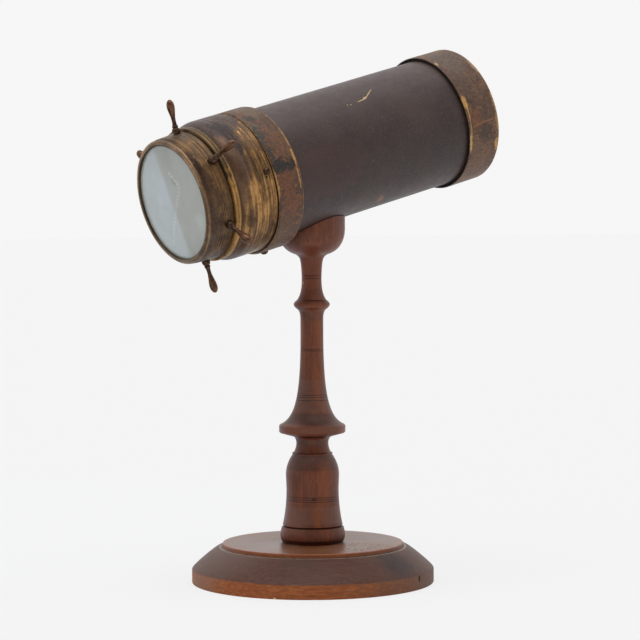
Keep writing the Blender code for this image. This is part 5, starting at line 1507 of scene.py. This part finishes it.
def make_world():
    global tree
    world = bpy.data.worlds.new("studio")
    world.use_nodes = True
    tree = world.node_tree
    tree.nodes.clear()
    path = add_node("ShaderNodeLightPath").outputs
    way = add_node("ShaderNodeTexCoord").outputs["Generated"]
    behind = vectors("DOT_PRODUCT", vectors("NORMALIZE", way),
                     (-math.sin(CAMERA_YAW), -math.cos(CAMERA_YAW), 0), output=1)
    room = between(behind, 0.97, 0.10)
    room_light = blended(room, ROOM_DARK, ROOM_LIT)
    plain = either(path["Is Camera Ray"], path["Is Transmission Ray"])
    shown = blended(plain, room_light, (BACKDROP, BACKDROP, BACKDROP, 1.0))
    light = add_node("ShaderNodeBackground", {"Color": room_light, "Strength": ROOM_POWER})
    view = add_node("ShaderNodeBackground", {"Color": shown, "Strength": 1.0})
    shown_as = {0: seen_directly(), 1: light.outputs[0], 2: view.outputs[0]}
    switch = add_node("ShaderNodeMixShader", shown_as)
    add_node("ShaderNodeOutputWorld", {0: switch.outputs[0]})
    scene.world = world


def make_floor():
    made = new_finish("paper_floor")
    wire(colour=FLOOR_TONE, rough=0.9, shine=0.1)
    glow = add_node("ShaderNodeEmission", {"Color": (FLOOR_GLOW, FLOOR_GLOW, FLOOR_GLOW, 1.0)})
    share = both(seen_directly(), 1 - FLOOR_OWN_SHARE)
    switch = add_node("ShaderNodeMixShader", {0: share, 1: shader.outputs[0], 2: glow.outputs[0]})
    plug(tree.nodes["Material Output"], 0, switch.outputs[0])
    shape = bmesh.new()
    bmesh.ops.create_grid(shape, x_segments=1, y_segments=1, size=FLOOR_SIZE / 2)
    floor = as_piece("paper_floor", shape, made)


def make_lamp(name, way, spread, power):
    lamp = bpy.data.lights.new(name, "SUN")
    lamp.angle = spread
    lamp.energy = power
    holder = bpy.data.objects.new(name, lamp)
    scene.collection.objects.link(holder)
    holder.rotation_euler = Vector(way).to_track_quat("-Z", "Y").to_euler()


def make_card(name, corners, tint):
    """A card that only mirrors see."""
    made = new_finish(name)
    glow = add_node("ShaderNodeEmission", {"Color": tint})
    plug(tree.nodes["Material Output"], 0, glow.outputs[0])
    shape = bmesh.new()
    shape.faces.new([shape.verts.new(corner) for corner in corners])
    card = as_piece(name, shape, made)
    card.visible_camera = False
    card.visible_diffuse = False
    card.visible_transmission = False
    card.visible_shadow = False


def mirrored_on_floor(pixel):
    """Where the front glass mirrors the sight line of a pixel to, on the floor."""
    hit = BARREL @ seen_on_flat(pixel, glass_front)
    way = sight(pixel)
    way = way - AXIS * 2 * way.dot(AXIS)
    return hit - way * (hit.z / way.z)


make_world()
make_floor()
near, far = [mirrored_on_floor(pixel) for pixel in REFLECTED_EDGE]
reach_out = (far - near) * 1.5
sideways = Vector((reach_out.y, -reach_out.x, 0)).normalized() * CARD_WIDTH
lift = Vector((0, 0, CARD_LIFT))
edge = (near - reach_out + lift, far + reach_out + lift)
make_card("window_card", (*edge, edge[1] + sideways, edge[0] + sideways), WINDOW_TINT)
make_card("dark_card", (*edge, edge[1] - sideways, edge[0] - sideways), DARK_TINT)
make_lamp("overhead_softbox", (0.25, 0.15, -1.0), spread=math.radians(50), power=1.0)
print("studio ready")
